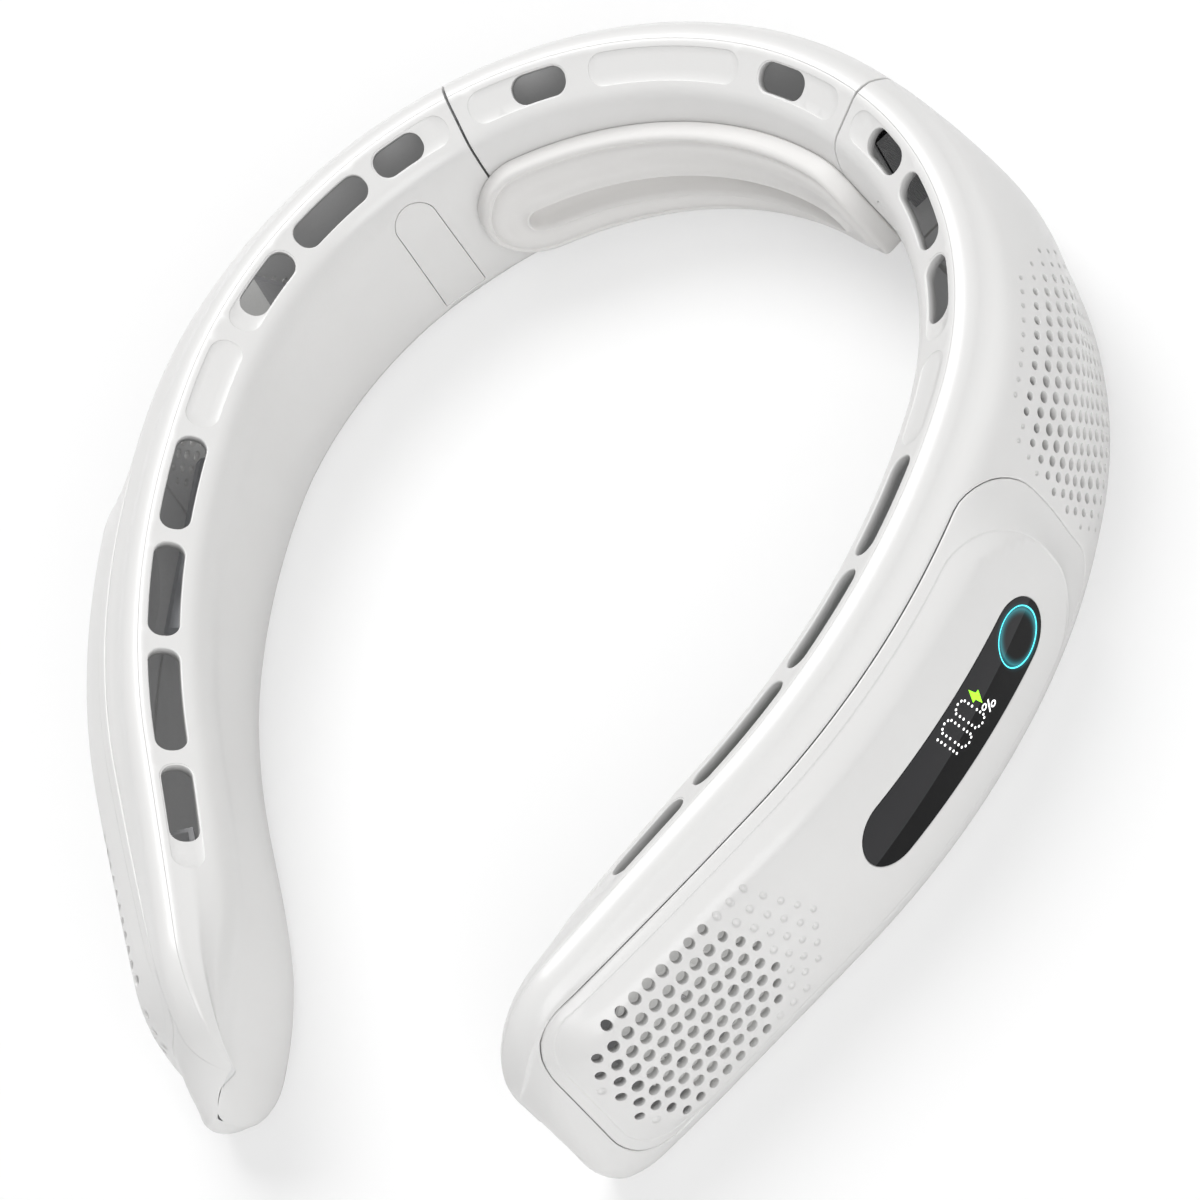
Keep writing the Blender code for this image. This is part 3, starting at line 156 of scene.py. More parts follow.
# Intake grilles: the hole that the pattern starts from, and fields with their middle, half size and how
# square they are
UPPER_START = (105.5, 21.4)
UPPER_FIELD = ((106.4, 21.4), (20.0, 16.4), 2.6)
UPPER_REACH = 1.16
UPPER_END = 126.4
UPPER_DIMPLE = 0.5
UPPER_HOLE_EDGE = 0.12
UPPER_HOLE_LOSS = (0.3, 0.72)
LOWER_START = (235.2, 23.2)
LOWER_FIELD = ((229.3, 23.6), (24.2, 15.6), 2.6)
LOWER_HOLES = ((234.6, 23.8), (18.6, 15.4), 2.4)
LOWER_REACH = 1.75
LOWER_DIMPLE = 0.92
LOWER_DIMPLE_LOSS = 0.3
LOWER_HOLE_EDGE = 0.14
LOWER_HOLE_LOSS = (0.22, 0.7)

# Covers, window and button
HINGE_COVER = (58.8, 68.8, 3.0, 36.0)
HINGE_COVER_CORNERS = (0.8, 0.8, 5.0, 5.0)
HINGE_COVER_DEPTH = 0.8
HINGE_COVER_HALF_GAP = 0.07
HINGE_COVER_STEP = 1.6
HINGE_COVER_CLEAR = 0.6
COVER = (128.4, 258.0, 5.5, 42.0)
COVER_CORNERS = (6.0, 10.0, 10.0, 12.0)
COVER_FACE = (136.4, 248.0, 8.2, 36.0)
COVER_FACE_CORNERS = (12.0, 8.0, 8.0, 12.0)
HOLLOW_SHOULDER = (138.0, 152.0)
CREST = (136.4, 256.0, 7.6, 40.5)
CREST_CORNERS = (12.0, 8.0, 8.0, 14.0)
CREST_STEP = 0.2
CREST_STEP_WIDTH = 0.35
COVER_INSETS = (0.6, 0.95)
CREST_GROWS = (0.15, 0.0, -0.12, -0.24, -0.4, -1.0)
COVER_EDGE = 0.3
COVER_PROUD = 2.9
COVER_CROWN = (27.0, 19.3, 1.2)
COVER_DEPTH = 1.6
WINDOW = (144.5, 193.7, 15.0, 27.8)
WINDOW_CORNER = 6.4
WINDOW_STEPS = (0.8, 0.4)
WINDOW_CLEAR = 0.3
WINDOW_DEPTH = 0.8
WINDOW_GAP = 0.05
SEAT_EDGE = 0.22
BUTTON_PLACE = (150.9, 21.4)
BUTTON_HOLE = 5.12
RING_RADIUS = 5.0
RING_HALF_WIDTH = 0.09
RING_DEPTH = 0.75
BUTTON_RADIUS = 4.86
BUTTON_DEPTH = 1.7
# Edge of the painted reflection on the window: the grey above it is a painted reflection, not a colour of the
# glass
REFLECTION_EDGE_LINE = ((144.5, 23.0), (193.7, 19.2))
REFLECTION_EDGE_SHARPNESS = 9000.0
HALO_WIDTH = 1.7
HALO_SHARE = 0.3

# Lit figures on the window
FIGURE_STEP = 3.8
FIGURE_SLOPE = 0.05
DOT_RADIUS = 0.24
STROKE_DOTS = (0, 1.02, 2.04, 3.46, 4.48, 5.5)
PER_CENT_RINGS = ((163.4, 20.6), (161.8, 19.0))
PER_CENT_BAR = ((161.95, 20.75), (162.25, 20.85), (163.25, 18.65), (162.95, 18.55))
BOLT = ((163.5, 26.0), (164.35, 23.55), (163.7, 23.45), (163.2, 21.6), (162.3, 24.1), (162.95, 24.2))

# The neck pad: half length, low, high, and its section from the rim inwards, as distance and level
PAD_HALF_LENGTH = 52.5
PAD_LOW = 5.5
PAD_HIGH = 33.0
PAD_SECTION = (
    (0.35, 0.1), (0.0, 0.5), (0.0, 3.0), (0.12, 3.7), (0.42, 4.2), (0.9, 4.4), (1.3, 4.3), (1.55, 4.0),
    (1.75, 4.0), (2.0, 4.4), (2.5, 4.8), (3.2, 5.1), (4.1, 5.3), (5.0, 5.35), (6.0, 5.2), (7.1, 5.05),
    (8.1, 5.1), (8.8, 5.4), (9.2, 5.8), (9.5, 6.1), (9.85, 6.15), (10.15, 5.8), (10.35, 5.1), (10.45, 3.4),
    (10.55, 1.7), (10.9, 1.15), (11.6, 1.0), (13.4, 0.95),
)
PAD_END_STEPS = 32
PAD_SIDE_STEPS = 49

# Depths of the surface textures, in metres
GRAIN = 0.000012
POWDER = 0.000010
FIBRES = 0.00002
TURNING = 0.000008
CREASES = 0.00008


def colour(name, description, default):
    return bpy.props.FloatVectorProperty(
        name=name, description=description, default=default, size=3, min=0, max=1, subtype="COLOR")


def length(name, description, default):
    return bpy.props.FloatProperty(
        name=name, description=description, default=default * MM, min=0, precision=5, unit="LENGTH",
        subtype="DISTANCE")


def number(name, description, default, low=0, high=1):
    return bpy.props.FloatProperty(name=name, description=description, default=default, min=low, max=high)


class HousingSettings(bpy.types.PropertyGroup):
    """Sizes and finish of the white mouldings"""
    seam: length("Seam", "Gap between the back and each arm", 0.52)
    parting: length("Parting line", "Gap between the outer and the inner shell", 0.03)
    edge: length("Edge radius", "Rounding where two mouldings meet", 0.08)
    slot_edge: length("Slot edge radius", "Rounding round the air slots", 0.3)
    cover_gap: length("Cover gap", "Gap round each side cover", 0.13)
    white: colour("White", "Colour of the mouldings", (0.80, 0.797, 0.79))
    white_low: colour(
        "White in the clouds", "The slightly darker white that the moulding drifts to", (0.775, 0.77, 0.762))
    roughness: number("Roughness", "Roughness of the satin moulding", 0.34)
    coat: number("Polish", "Weight of the clear polish over the moulding", 0.22)


class GrilleSettings(bpy.types.PropertyGroup):
    """Holes of the lower and the upper intake grille"""
    lower_pitch: length("Lower pitch", "Spacing of the holes along the cover", 3.3)
    lower_rows: length("Lower rows", "Spacing of the rows of holes on the cover", 3.2)
    lower_hole: length("Lower hole", "Diameter of the holes in the cover", 2.3)
    upper_pitch: length("Upper pitch", "Spacing of the holes along the arm", 2.7)
    upper_rows: length("Upper rows", "Spacing of the rows of holes on the arm", 2.95)
    upper_hole: length("Upper hole", "Diameter of the holes in the arm", 1.95)
    dimple: length("Dimple", "Depth of the blind dimples at the rim of a grille", 0.8)


class PadSettings(bpy.types.PropertyGroup):
    """Finish of the silicone neck pad"""
    white: colour("Pad white", "Colour of the silicone", (0.79, 0.78, 0.768))
    roughness: number("Pad roughness", "Roughness of the silicone", 0.5)
    fill: number("Pad fill", "How tight the pad is", 0.9)


class DisplaySettings(bpy.types.PropertyGroup):
    """The black window, its button and its lit marks"""
    black: colour("Window black", "Lower part of the window", (0.003, 0.003, 0.0035))
    # Painted reflection: the grey upper part of the window and the button is a painted reflection
    reflection_grey: colour("Window grey", "Upper part of the window", (0.034, 0.034, 0.036))
    ring: colour("Ring", "Colour of the lit ring", (0.10, 0.78, 0.90))
    bolt: colour("Bolt", "Colour of the charging mark", (0.30, 0.90, 0.02))
    glow: number("Glow", "Strength of the lit marks", 1.3, 0, 10)


class StageSettings(bpy.types.PropertyGroup):
    """Floor, lamps and camera"""
    floor: colour("Floor", "Colour of the floor", (0.93, 0.93, 0.93))
    floor_bounce: colour("Floor bounce", "Colour that the floor throws back on the fan", (0.9, 0.9, 0.9))
    floor_glow: number("Floor lift", "How much of the floor is plain white to the camera", 0.5)
    key: number("Key lamp", "Power of the soft lamp overhead, in watts", 13.0, 0, 1000)
    side: number("Side lamp", "Power of the soft lamp beside the camera, in watts", 10.0, 0, 1000)
    sky: number("Sky", "Strength of the plain white surroundings", 0.38, 0, 10)
    lens: number("Lens", "Focal length of the camera in millimetres", 139.87, 1, 500)


SETTINGS = {
    "fan_housing": HousingSettings, "fan_grille": GrilleSettings, "fan_pad": PadSettings,
    "fan_display": DisplaySettings, "fan_stage": StageSettings,
}


def settings(name):
    return getattr(bpy.context.scene, "fan_" + name)


# Curves and the housing's surface


def stretch(knots, x):
    """Which stretch between two knots each x lies on."""
    return np.clip(np.searchsorted(knots, x, side="right") - 1, 0, len(knots) - 2)


def smooth_curve(knots, values, x):
    """Smooth curve through the values at the knots, read at x."""
    knots = np.asarray(knots, float)
    values = np.asarray(values, float)
    slopes = np.gradient(values, knots, axis=0)
    k = stretch(knots, x)
    return bend_between(values[k], values[k + 1], slopes[k], slopes[k + 1], knots[k], knots[k + 1], x)


def bend_between(start, end, start_slope, end_slope, low, high, x):
    span = (high - low)[:, None]
    t = (x - low)[:, None] / span
    rest = 1 - t
    return (
        (1 + 2 * t) * rest * rest * start + t * rest * rest * span * start_slope
        + t * t * (3 - 2 * t) * end - t * t * rest * span * end_slope
    )


def ease(x):
    x = np.clip(x, 0, 1)
    return x * x * (3 - 2 * x)


def middle_line(s):
    """Point of the middle line at s, and the direction square to it, away from the neck."""
    hand = np.where(s < 0, -1.0, 1.0)
    along = np.minimum(np.abs(s), HALF_LENGTH)
    quarter = BACK_RADIUS * pi / 2
    turn = np.minimum(along, quarter) / BACK_RADIUS
    bend = np.minimum(np.maximum(along - quarter, 0) / ARM_RADIUS, ARM_BEND)
    rest = np.maximum(along - quarter - ARM_RADIUS * ARM_BEND, 0)
    x = BACK_RADIUS * np.sin(turn) - ARM_RADIUS * (1 - np.cos(bend)) - rest * np.sin(bend)
    y = BACK_RADIUS * (np.cos(turn) - 1) - ARM_RADIUS * np.sin(bend) - rest * np.cos(bend)
    return hand * x, y, hand * np.sin(turn + bend), np.cos(turn + bend)


def closing(s, radius):
    t = np.clip((np.abs(s) - HALF_LENGTH + radius) / radius, 0, 1)
    return 1 - np.sqrt(1 - t * t)


def wall_places(s):
    rows = np.array(WALL_SHARES)
    behind = rows[3:0:-1] * ([-1] + [1] * 6)
    rows = np.vstack([behind, rows])
    return smooth_curve(rows[:, 0], rows[:, 1:], np.abs(s) / HALF_LENGTH)


def section_side(s, walls, shares):
    shares = np.array(shares)
    high = HEIGHT - TIP_TOP_RADIUS * closing(s, TIP_TOP_RADIUS)
    low = TIP_LOW_RADIUS * closing(s, TIP_LOW_RADIUS)
    out = WIDTH * (walls @ shares[:, :3].T + shares[:, 3])
    return out, low[:, None] + shares[:, 4] * (high - low)[:, None]


def cut_in(points, parts):
    """The points with each stretch between them cut into equal parts."""
    cuts = [points[:-1] + (points[1:] - points[:-1]) * k / parts for k in range(parts)]
    mixed = np.stack(cuts, axis=1).reshape(-1, points.shape[1])
    return np.vstack([mixed, points[-1:]])


class Housing:
    """The outer surface of the whole housing, as a smooth skin over its sections."""

    CAP = 0.4

    def __init__(self):
        lip = HALF_LENGTH - TIP_LIP
        sweep = np.linspace(0, pi / 2, 400)
        self.stations = np.concatenate([
            np.arange(0, HALF_LENGTH - TIP_FINE, SECTION_STEP),
            np.arange(HALF_LENGTH - TIP_FINE, lip, TIP_SECTION_STEP), lip + TIP_LIP * np.sin(sweep)])
        sections = self._sections(self.stations)
        strip = len(INNER_SHARES) + ROUNDING_PARTS
        cap = sections[-1].copy()
        end = np.array([HALF_LENGTH])
        side_shares = OUTER_SHARES[FIRST_SIDE_CORNER:LAST_SIDE_CORNER + 1]
        out, up = section_side(end, wall_places(end)[:, :3], side_shares)
        cap[:, 0] = np.interp(cap[:, 1], up[0, ::-1], out[0, ::-1]) - TIP_LIP - TIP_EDGE / 2
        self.stations = np.append(self.stations, HALF_LENGTH + self.CAP)
        self.sections = np.concatenate([sections, cap[None]])
        nominal = self.sections[np.searchsorted(self.stations, NOMINAL_PLACE)]
        steps = np.linalg.norm(np.diff(nominal, axis=0), axis=1)
        self.knots = np.concatenate([[0], np.cumsum(steps)])
        self.slopes = np.gradient(self.sections, self.knots, axis=1)
        self.strip = self.knots[strip]
        crest = strip + STRIP_PARTS
        self.crest = self.knots[crest]
        self.parting = self.crest + PARTING_STEP
        self.end = self.knots[-1]
        self.inner_heights = self._height_table(0.0, self.knots[strip - ROUNDING_PARTS])
        self.outer_heights = self._height_table(self.end, self.knots[crest + 1])

    def _sections(self, s):
        walls = wall_places(s)
        outer = np.stack(section_side(s, walls[:, :3], OUTER_SHARES), axis=2)
        places = np.arange(len(OUTER_SHARES))
        spread = TIP_EDGE * np.maximum(FIRST_SIDE_CORNER - places, 0) / (FIRST_SIDE_CORNER + 1)
        inner = np.stack(section_side(s, walls[:, 3:], INNER_SHARES), axis=2)
        rows = []
        for k in range(len(s)):
            taper = closing(s[k], TIP_TAPER)
            lip = closing(s[k], TIP_LIP)
            side = outer[k, FIRST_SIDE_CORNER:LAST_SIDE_CORNER + 1][::-1].copy()
            target = np.interp(inner[k, :, 1], side[:, 1], side[:, 0]) - TIP_LIP - TIP_EDGE
            inner[k, :, 0] += (target - inner[k, :, 0]) * taper
            edge = np.interp(outer[k, :, 1], side[:, 1], side[:, 0]) - TIP_LIP - spread
            behind = outer[k, :, 0] < edge
            rounded = edge + (outer[k, :, 0] - edge) * (1 - lip)
            outer[k, :, 0] = np.where(behind, outer[k, :, 0] + (edge - outer[k, :, 0]) * taper, rounded)
            foot = (inner[k, -1] + outer[k, -1]) / 2
            up = inner[k, ::-1]
            rows.append(np.vstack([
                foot, (foot + up[0]) / 2, up[:-2], cut_in(up[-2:], ROUNDING_PARTS)[:-1],
                cut_in(np.stack([up[-1], outer[k, 0]]), STRIP_PARTS)[:-1], outer[k],
                (foot + outer[k, -1]) / 2, foot]))
        return np.array(rows)

    def _height_table(self, foot, top):
        s = np.concatenate([np.arange(0, HALF_LENGTH, 2.0), [HALF_LENGTH]])
        v = np.linspace(foot, top, 160)
        grid_s, grid_v = np.meshgrid(s, v, indexing="ij")
        up = self.bare(grid_s.ravel(), grid_v.ravel())[:, 2].reshape(grid_s.shape)
        h = np.arange(0, HEIGHT, HEIGHT_STEP)
        rise = np.maximum.accumulate(up, axis=1) + np.arange(len(v)) * 1e-6
        return s, h, np.array([np.interp(h, row, v) for row in rise])

    def bare(self, s, v):
        """Points on the skin, before they are moved onto the table's frame."""
        along = np.abs(s)
        i = stretch(self.stations, along)
        f = ((along - self.stations[i]) / (self.stations[i + 1] - self.stations[i]))[:, None]
        k = stretch(self.knots, v)

        def row(table, at):
            return table[i, at] * (1 - f) + table[i + 1, at] * f

        section = bend_between(
            row(self.sections, k), row(self.sections, k + 1), row(self.slopes, k), row(self.slopes, k + 1),
            self.knots[k], self.knots[k + 1], v)
        x, y, out_x, out_y = middle_line(s)
        out = section[:, 0]
        return np.stack([x + out_x * out, y + out_y * out, section[:, 1]], axis=1)

    def at(self, s, v, level):
        step = 0.02
        along = self.bare(s + step, v) - self.bare(s - step, v)
        round_it = self.bare(s, np.minimum(v + step, self.end)) - self.bare(s, np.maximum(v - step, 0))
        away = np.cross(along, round_it)
        away /= np.maximum(np.linalg.norm(away, axis=1), 1e-12)[:, None]
        return self.bare(s, v) + away * np.broadcast_to(level, s.shape)[:, None]

    def _v(self, table, s, h):
        stations, heights, v = table
        along = np.clip(np.abs(s), 0, HALF_LENGTH)
        i = stretch(stations, along)
        f = (along - stations[i]) / (stations[i + 1] - stations[i])
        up = np.clip(np.asarray(h, float) / HEIGHT_STEP, 0, len(heights) - 1.001)
        k = up.astype(int)
        g = up - k
        low = v[i, k] * (1 - g) + v[i, k + 1] * g
        high = v[i + 1, k] * (1 - g) + v[i + 1, k + 1] * g
        return low * (1 - f) + high * f

    def outer_v(self, s, h):
        return self._v(self.outer_heights, s, h)

    def inner_v(self, s, h):
        return self._v(self.inner_heights, s, h)

    def skin(self, points, level):
        """The surface over places (s, v)."""
        return self.at(points[:, 0], points[:, 1], level)

    def outer_side(self, points, level):
        """The surface over places (s, h) on the outer side."""
        return self.at(points[:, 0], self.outer_v(points[:, 0], points[:, 1]), level)

    def inner_side(self, points, level):
        """The surface over places (s, h) on the inner side."""
        return self.at(points[:, 0], self.inner_v(points[:, 0], points[:, 1]), level)

    def cover_face(self, points, level):
        """The raised face of a side cover over places (s, h)."""
        return self.outer_side(points, cover_rise(points[:, 0], points[:, 1]) + level)


def depth_in_box(s, h, box, corners):
    """How deep a place lies inside a box with its own radius at each corner; below zero outside."""
    left, right, low, high = box
    at_left = s < (left + right) / 2
    at_low = h < (low + high) / 2
    radius = np.select(
        [at_left & at_low, ~at_left & at_low, ~at_left & ~at_low], corners[:3], corners[3])
    over = np.where(at_left, left - s, s - right) + radius
    up = np.where(at_low, low - h, h - high) + radius
    outside = np.hypot(np.maximum(over, 0), np.maximum(up, 0))
    return radius - outside - np.minimum(np.maximum(over, up), 0)


def cover_rise(s, h):
    """How far the side cover stands off the housing: a shoulder, hollow at the back, then a crowned face."""
    from_edge = np.maximum(depth_in_box(s, h, COVER, COVER_CORNERS), 0)
    to_face = np.maximum(-depth_in_box(s, h, COVER_FACE, COVER_FACE_CORNERS), 0)
    t = from_edge / np.maximum(from_edge + to_face, 1e-9)
    hollow = ease((HOLLOW_SHOULDER[1] - s) / (HOLLOW_SHOULDER[1] - HOLLOW_SHOULDER[0]))
    shoulder = (1 - hollow) * ease(t) + hollow * t ** 1.9
    middle, reach, drop = COVER_CROWN
    crown = COVER_PROUD - drop * np.clip((middle - h) / reach, 0, 1) ** 2
    step = CREST_STEP * ease(depth_in_box(s, h, CREST, CREST_CORNERS) / CREST_STEP_WIDTH)
    return crown * shoulder - step


# Outlines


def rounded_box(box, corners, grow=0.0, step=1.0, turns=8):
    """Closed loop round a box (left, right, low, high) with its own radius at each corner, from low left."""
    left, right, low, high = box[0] - grow, box[1] + grow, box[2] - grow, box[3] + grow
    middles = []
    for k, (x, y) in enumerate(((left, low), (right, low), (right, high), (left, high))):
        radius = max(corners[k] + grow, 0.01)
        middle = (x + (radius if x == left else -radius), y + (radius if y == low else -radius))
        middles.append((middle, radius, pi + k * pi / 2))
    loop = []
    for k, (middle, radius, start) in enumerate(middles):
        angles = [start + pi / 2 * t / turns for t in range(turns + 1)]
        arc = [(middle[0] + radius * cos(angle), middle[1] + radius * sin(angle)) for angle in angles]
        if loop:
            loop += straight(loop[-1], arc[0], step)
        loop += arc
    loop = np.array(loop + straight(loop[-1], loop[0], step))
    apart = np.linalg.norm(loop - np.roll(loop, 1, axis=0), axis=1) > 1e-4
    return loop[apart]


def straight(start, end, step):
    """Points between two ends, without them."""
    parts = int(np.hypot(end[0] - start[0], end[1] - start[1]) / step) + 1
    return [
        (start[0] + (end[0] - start[0]) * k / parts, start[1] + (end[1] - start[1]) * k / parts)
        for k in range(1, parts)]


def round_hole(middle, radius, count=14):
    angles = np.arange(count) * 2 * pi / count
    return np.stack([middle[0] + radius * np.cos(angles), middle[1] + radius * np.sin(angles)], axis=1)


def is_inside(points, loop):
    """Which points lie inside a closed loop."""
    inside = np.zeros(len(points), bool)
    near = np.all((points >= loop.min(0)) & (points <= loop.max(0)), axis=1)
    x, y = points[near].T
    start = loop[:, :, None]
    end = np.roll(loop, -1, axis=0)[:, :, None]
    spans = (start[:, 1] > y) != (end[:, 1] > y)
    rise = np.where(end[:, 1] == start[:, 1], 1.0, end[:, 1] - start[:, 1])
    crossing = x < (end[:, 0] - start[:, 0]) * (y - start[:, 1]) / rise + start[:, 0]
    inside[near] = np.sum(spans & crossing, axis=0) % 2 == 1
    return inside


# Plates cut from a surface


class Plate:
    """A wall cut from a surface, with rounded edges, holes, pockets and dimples."""

    def __init__(self, surface, wall, straight_edged=False):
        self.surface = surface
        self.wall = wall
        self.straight_edged = straight_edged
        self.points = np.empty((0, 2))
        self.levels = np.empty(0)
        self.loop_of = np.empty(0, int)
        self.edges = []
        self.holes = {}
        self.outline = None
        self.floors = []

    def _add(self, points, level, loop=-1):
        first = len(self.points)
        self.points = np.vstack([self.points, points])
        self.levels = np.append(self.levels, np.full(len(points), float(level)))
        self.loop_of = np.append(self.loop_of, np.full(len(points), loop))
        return first

    def loop(self, points, level=0.0, hole=False):
        name = len(self.edges)
        first = self._add(points, level, name)
        count = len(points)
        self.edges += [(first + k, first + (k + 1) % count) for k in range(count)]
        if hole:
            self.holes[name] = np.asarray(points)

    def _rim(self, shape, radius, sense, level, hole, steps=3):
        for k in range(steps + 1):
            turn = pi / 2 * k / steps
            inset = sense * radius * (1 - sin(turn))
            self.loop(shape(inset), level - radius * (1 - cos(turn)), hole and k == steps)

    def edge(self, shape, radius):
        """The outline; shape(grow) gives its loop."""
        self.outline = np.asarray(shape(-radius))
        self._rim(shape, radius, -1, 0.0, False)

    def opening(self, shape, radius, level=0.0, steps=3):
        self._rim(shape, radius, 1, level, True, steps)

    def pocket(self, shape, radius, depth):
        """A flat recess with a rounded lip."""
        self._rim(shape, radius, 1, 0.0, False)
        floor = shape(-POCKET_DRAFT)
        self.loop(floor, -depth)
        self.floors.append((floor, -depth))

    def dimple(self, middle, radius, depth, count=10):
        """A blind round hollow, with one loop between its rim and its deepest point."""
        waist, sunk = DIMPLE_WAIST
        self.loop(round_hole(middle, radius, count), 0.0)
        self.loop(round_hole(middle, radius * waist, count), -depth * sunk)
        self._add(np.array([middle]), -depth)

    def fill(self, xs, ys, clear=CLEAR):
        """Points over the rest of the plate, where they stay clear of its loops."""
        grid = np.stack(np.meshgrid(xs, ys, indexing="ij"), axis=2).reshape(-1, 2)
        grid = grid[is_inside(grid, self.outline)]
        for loop in self.holes.values():
            grid = grid[~is_inside(grid, loop)]
        outline_low, outline_high = self.outline.min(0), self.outline.max(0)
        kept_loops = np.flatnonzero(~self._on_box(outline_low, outline_high))
        tree = KDTree(max(len(kept_loops), 1))
        for k in kept_loops:
            tree.insert((*self.points[k], 0), int(k))
        tree.balance()
        kept = []
        for point in grid:
            if len(kept_loops) == 0 or tree.find((*point, 0))[2] > clear:
                kept.append(point)
        kept = np.array(kept).reshape(-1, 2)
        level = np.zeros(len(kept))
        for loop, floor in self.floors:
            level[is_inside(kept, loop)] = floor
        for floor in np.unique(level):
            self._add(kept[level == floor], floor)

    def _on_box(self, low, high):
        """Points of a straight-edged outline, whose rows the filling may come close to."""
        if not self.straight_edged:
            return np.zeros(len(self.points), bool)
        margin = 0.02
        return np.any((self.points < low + margin) | (self.points > high - margin), axis=1)

    def triangles(self):
        corners = [Vector(point) for point in self.points.tolist()]
        points, _, faces, _, _, _ = delaunay_2d_cdt(corners, self.edges, [], 1, 1e-7, False)
        if len(points) != len(corners):
            raise RuntimeError("two loops of a plate cross")
        faces = np.array([face[:] for face in faces])
        loops = self.loop_of[faces]
        for name in self.holes:
            alike = np.flatnonzero(np.all(loops == name, axis=1))
            gone = alike[is_inside(self.points[faces[alike]].mean(axis=1), self.holes[name])]
            faces = np.delete(faces, gone, axis=0)
            loops = np.delete(loops, gone, axis=0)
        return faces

    def fade(self):
        """Share of the wall and of its edges that is left at each point, where the tip rounds off."""
        left = HALF_LENGTH + HOUSE.CAP - np.abs(self.points[:, 0])
        return np.clip(left / WALL_FADE, THINNEST_SHARE, 1)

    def build(self):
        """Corners in millimetres, faces and the smooth normals of the top."""
        faces = self.triangles()
        count = len(self.points)
        fade = self.fade()
        top = self.surface(self.points, self.levels * fade)
        under = self.surface(self.points, -self.wall * fade)
        step = 0.04
        right = self.surface(self.points + (step, 0), 0) - self.surface(self.points - (step, 0), 0)
        up = self.surface(self.points + (0, step), 0) - self.surface(self.points - (0, step), 0)
        away = np.cross(right, up)
        a, b, c = (top[faces[:, k]] for k in range(3))
        facing = np.cross(b - a, c - a)
        sign = 1.0
        if np.sum((facing * (top[faces[:, 0]] - under[faces[:, 0]])).sum(axis=1) > 0) < len(faces) / 2:
            faces = faces[:, ::-1]
            sign = -1.0
        away *= sign / np.maximum(np.linalg.norm(away, axis=1), 1e-12)[:, None]
        away[self.levels < 0] = 0
        directed = set(map(tuple, np.vstack([faces[:, [0, 1]], faces[:, [1, 2]], faces[:, [2, 0]]]).tolist()))
        walls = [(b, a, a + count, b + count) for a, b in directed if (b, a) not in directed]
        every = faces.tolist() + (faces[:, ::-1] + count).tolist() + walls
        return np.vstack([top, under]), every, np.vstack([away, np.zeros_like(away)])


def add_object(name, data):
    made = bpy.data.objects.new(name, data)
    bpy.context.scene.collection.objects.link(made)
    return made


def add_piece(name, corners, faces, normals=None, mirrored=False):
    """A mesh object from corners in millimetres, on the table's frame."""
    corners = np.array(corners, float)
    corners[:, 1] += LINE_BACK
    if mirrored:
        corners[:, 0] *= -1
        faces = [tuple(face[::-1]) for face in faces]
    mesh = bpy.data.meshes.new(name)
    mesh.from_pydata((corners * MM).tolist(), [], faces)
    mesh.update()
    mesh.shade_smooth()
    mesh.set_sharp_from_angle(angle=EDGE_ANGLE)
    if normals is not None:
        normals = normals * ((-1, 1, 1) if mirrored else (1, 1, 1))
        mesh.normals_split_custom_set_from_vertices(normals.tolist())
    return add_object(name, mesh)


def add_side(hand, name, made):
    """A piece of one arm; the right one is the mirror image of the left."""
    return add_piece(hand + name, *made, mirrored=hand == "right")


def finish_piece(piece, body, materials, nodes):
    for material in materials:
        piece.data.materials.append(material)
    if nodes:
        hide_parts(*nodes)
    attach(piece, body)


def finish_shell(piece, body, nodes):
    """White outside; inside a darker grey with a faint painted glow for the light let in through the thin
    walls.
    """
    finish_piece(piece, body, [finish("white moulding"), finish("moulding inside")], nodes)
    skins = sum(len(face.vertices) == 3 for face in piece.data.polygons)
    sides = np.zeros(len(piece.data.polygons), np.int32)
    sides[skins // 2:skins] = 1
    piece.data.polygons.foreach_set("material_index", sides)


def stack_loops(loops, closed=False, capped=True):
    """Corners and faces of a form through loops of equal count; closed joins the last to the first."""
    count = len(loops[0])
    corners = np.vstack(loops)
    faces = []
    for k in range(len(loops) if closed else len(loops) - 1):
        a = k * count
        b = (k + 1) % len(loops) * count
        faces += [(a + j, a + (j + 1) % count, b + (j + 1) % count, b + j) for j in range(count)]
    if not closed and capped:
        faces.append(tuple(range(count))[::-1])
        faces.append(tuple(range((len(loops) - 1) * count, len(loops) * count)))
    return corners, faces


def across(count, turn):
    """Faces that close a long loop with short steps from side to side; turn is the steps round one end."""
    faces = []
    for k in range(turn // 2, turn // 2 + count // 2):
        corners = (k, (k + 1) % count, (turn - 1 - k) % count, (turn - k) % count)
        faces.append(tuple(dict.fromkeys(corners)))
    return faces


HOUSE = Housing()


def shell_stations(start):
    """Places along an arm for a row of points, close together where the tip rounds."""
    lip = HALF_LENGTH - TIP_LIP
    return np.concatenate([
        np.arange(start, HALF_LENGTH - TIP_FINE, ARM_STEP),
        np.arange(HALF_LENGTH - TIP_FINE, lip - 0.3, TIP_STEP),
        lip + TIP_LIP * np.sin(np.radians(np.arange(0, 91, 7.5)))])


def straight_outline(start, end, low, high, stations, rows):
    """shape(grow) for a plate with four straight edges, with a point at each station and row."""
    inner_s = [s for s in stations if start + 1 < s < end - 0.02]
    inner_v = [v for v in rows if low + 0.6 < v < high - 0.6]

    def shape(grow):
        left, right, down, up = start - grow, end + grow, low - grow, high + grow
        along = left + (np.array(inner_s) - start) * (right - left) / (end - start)
        rise = down + (np.array(inner_v) - low) * (up - down) / (high - low)
        return np.array([
            (left, down), *((s, down) for s in along), (right, down), *((right, v) for v in rise),
            (right, up), *((s, up) for s in along[::-1]), (left, up), *((left, v) for v in rise[::-1])])

    return shape


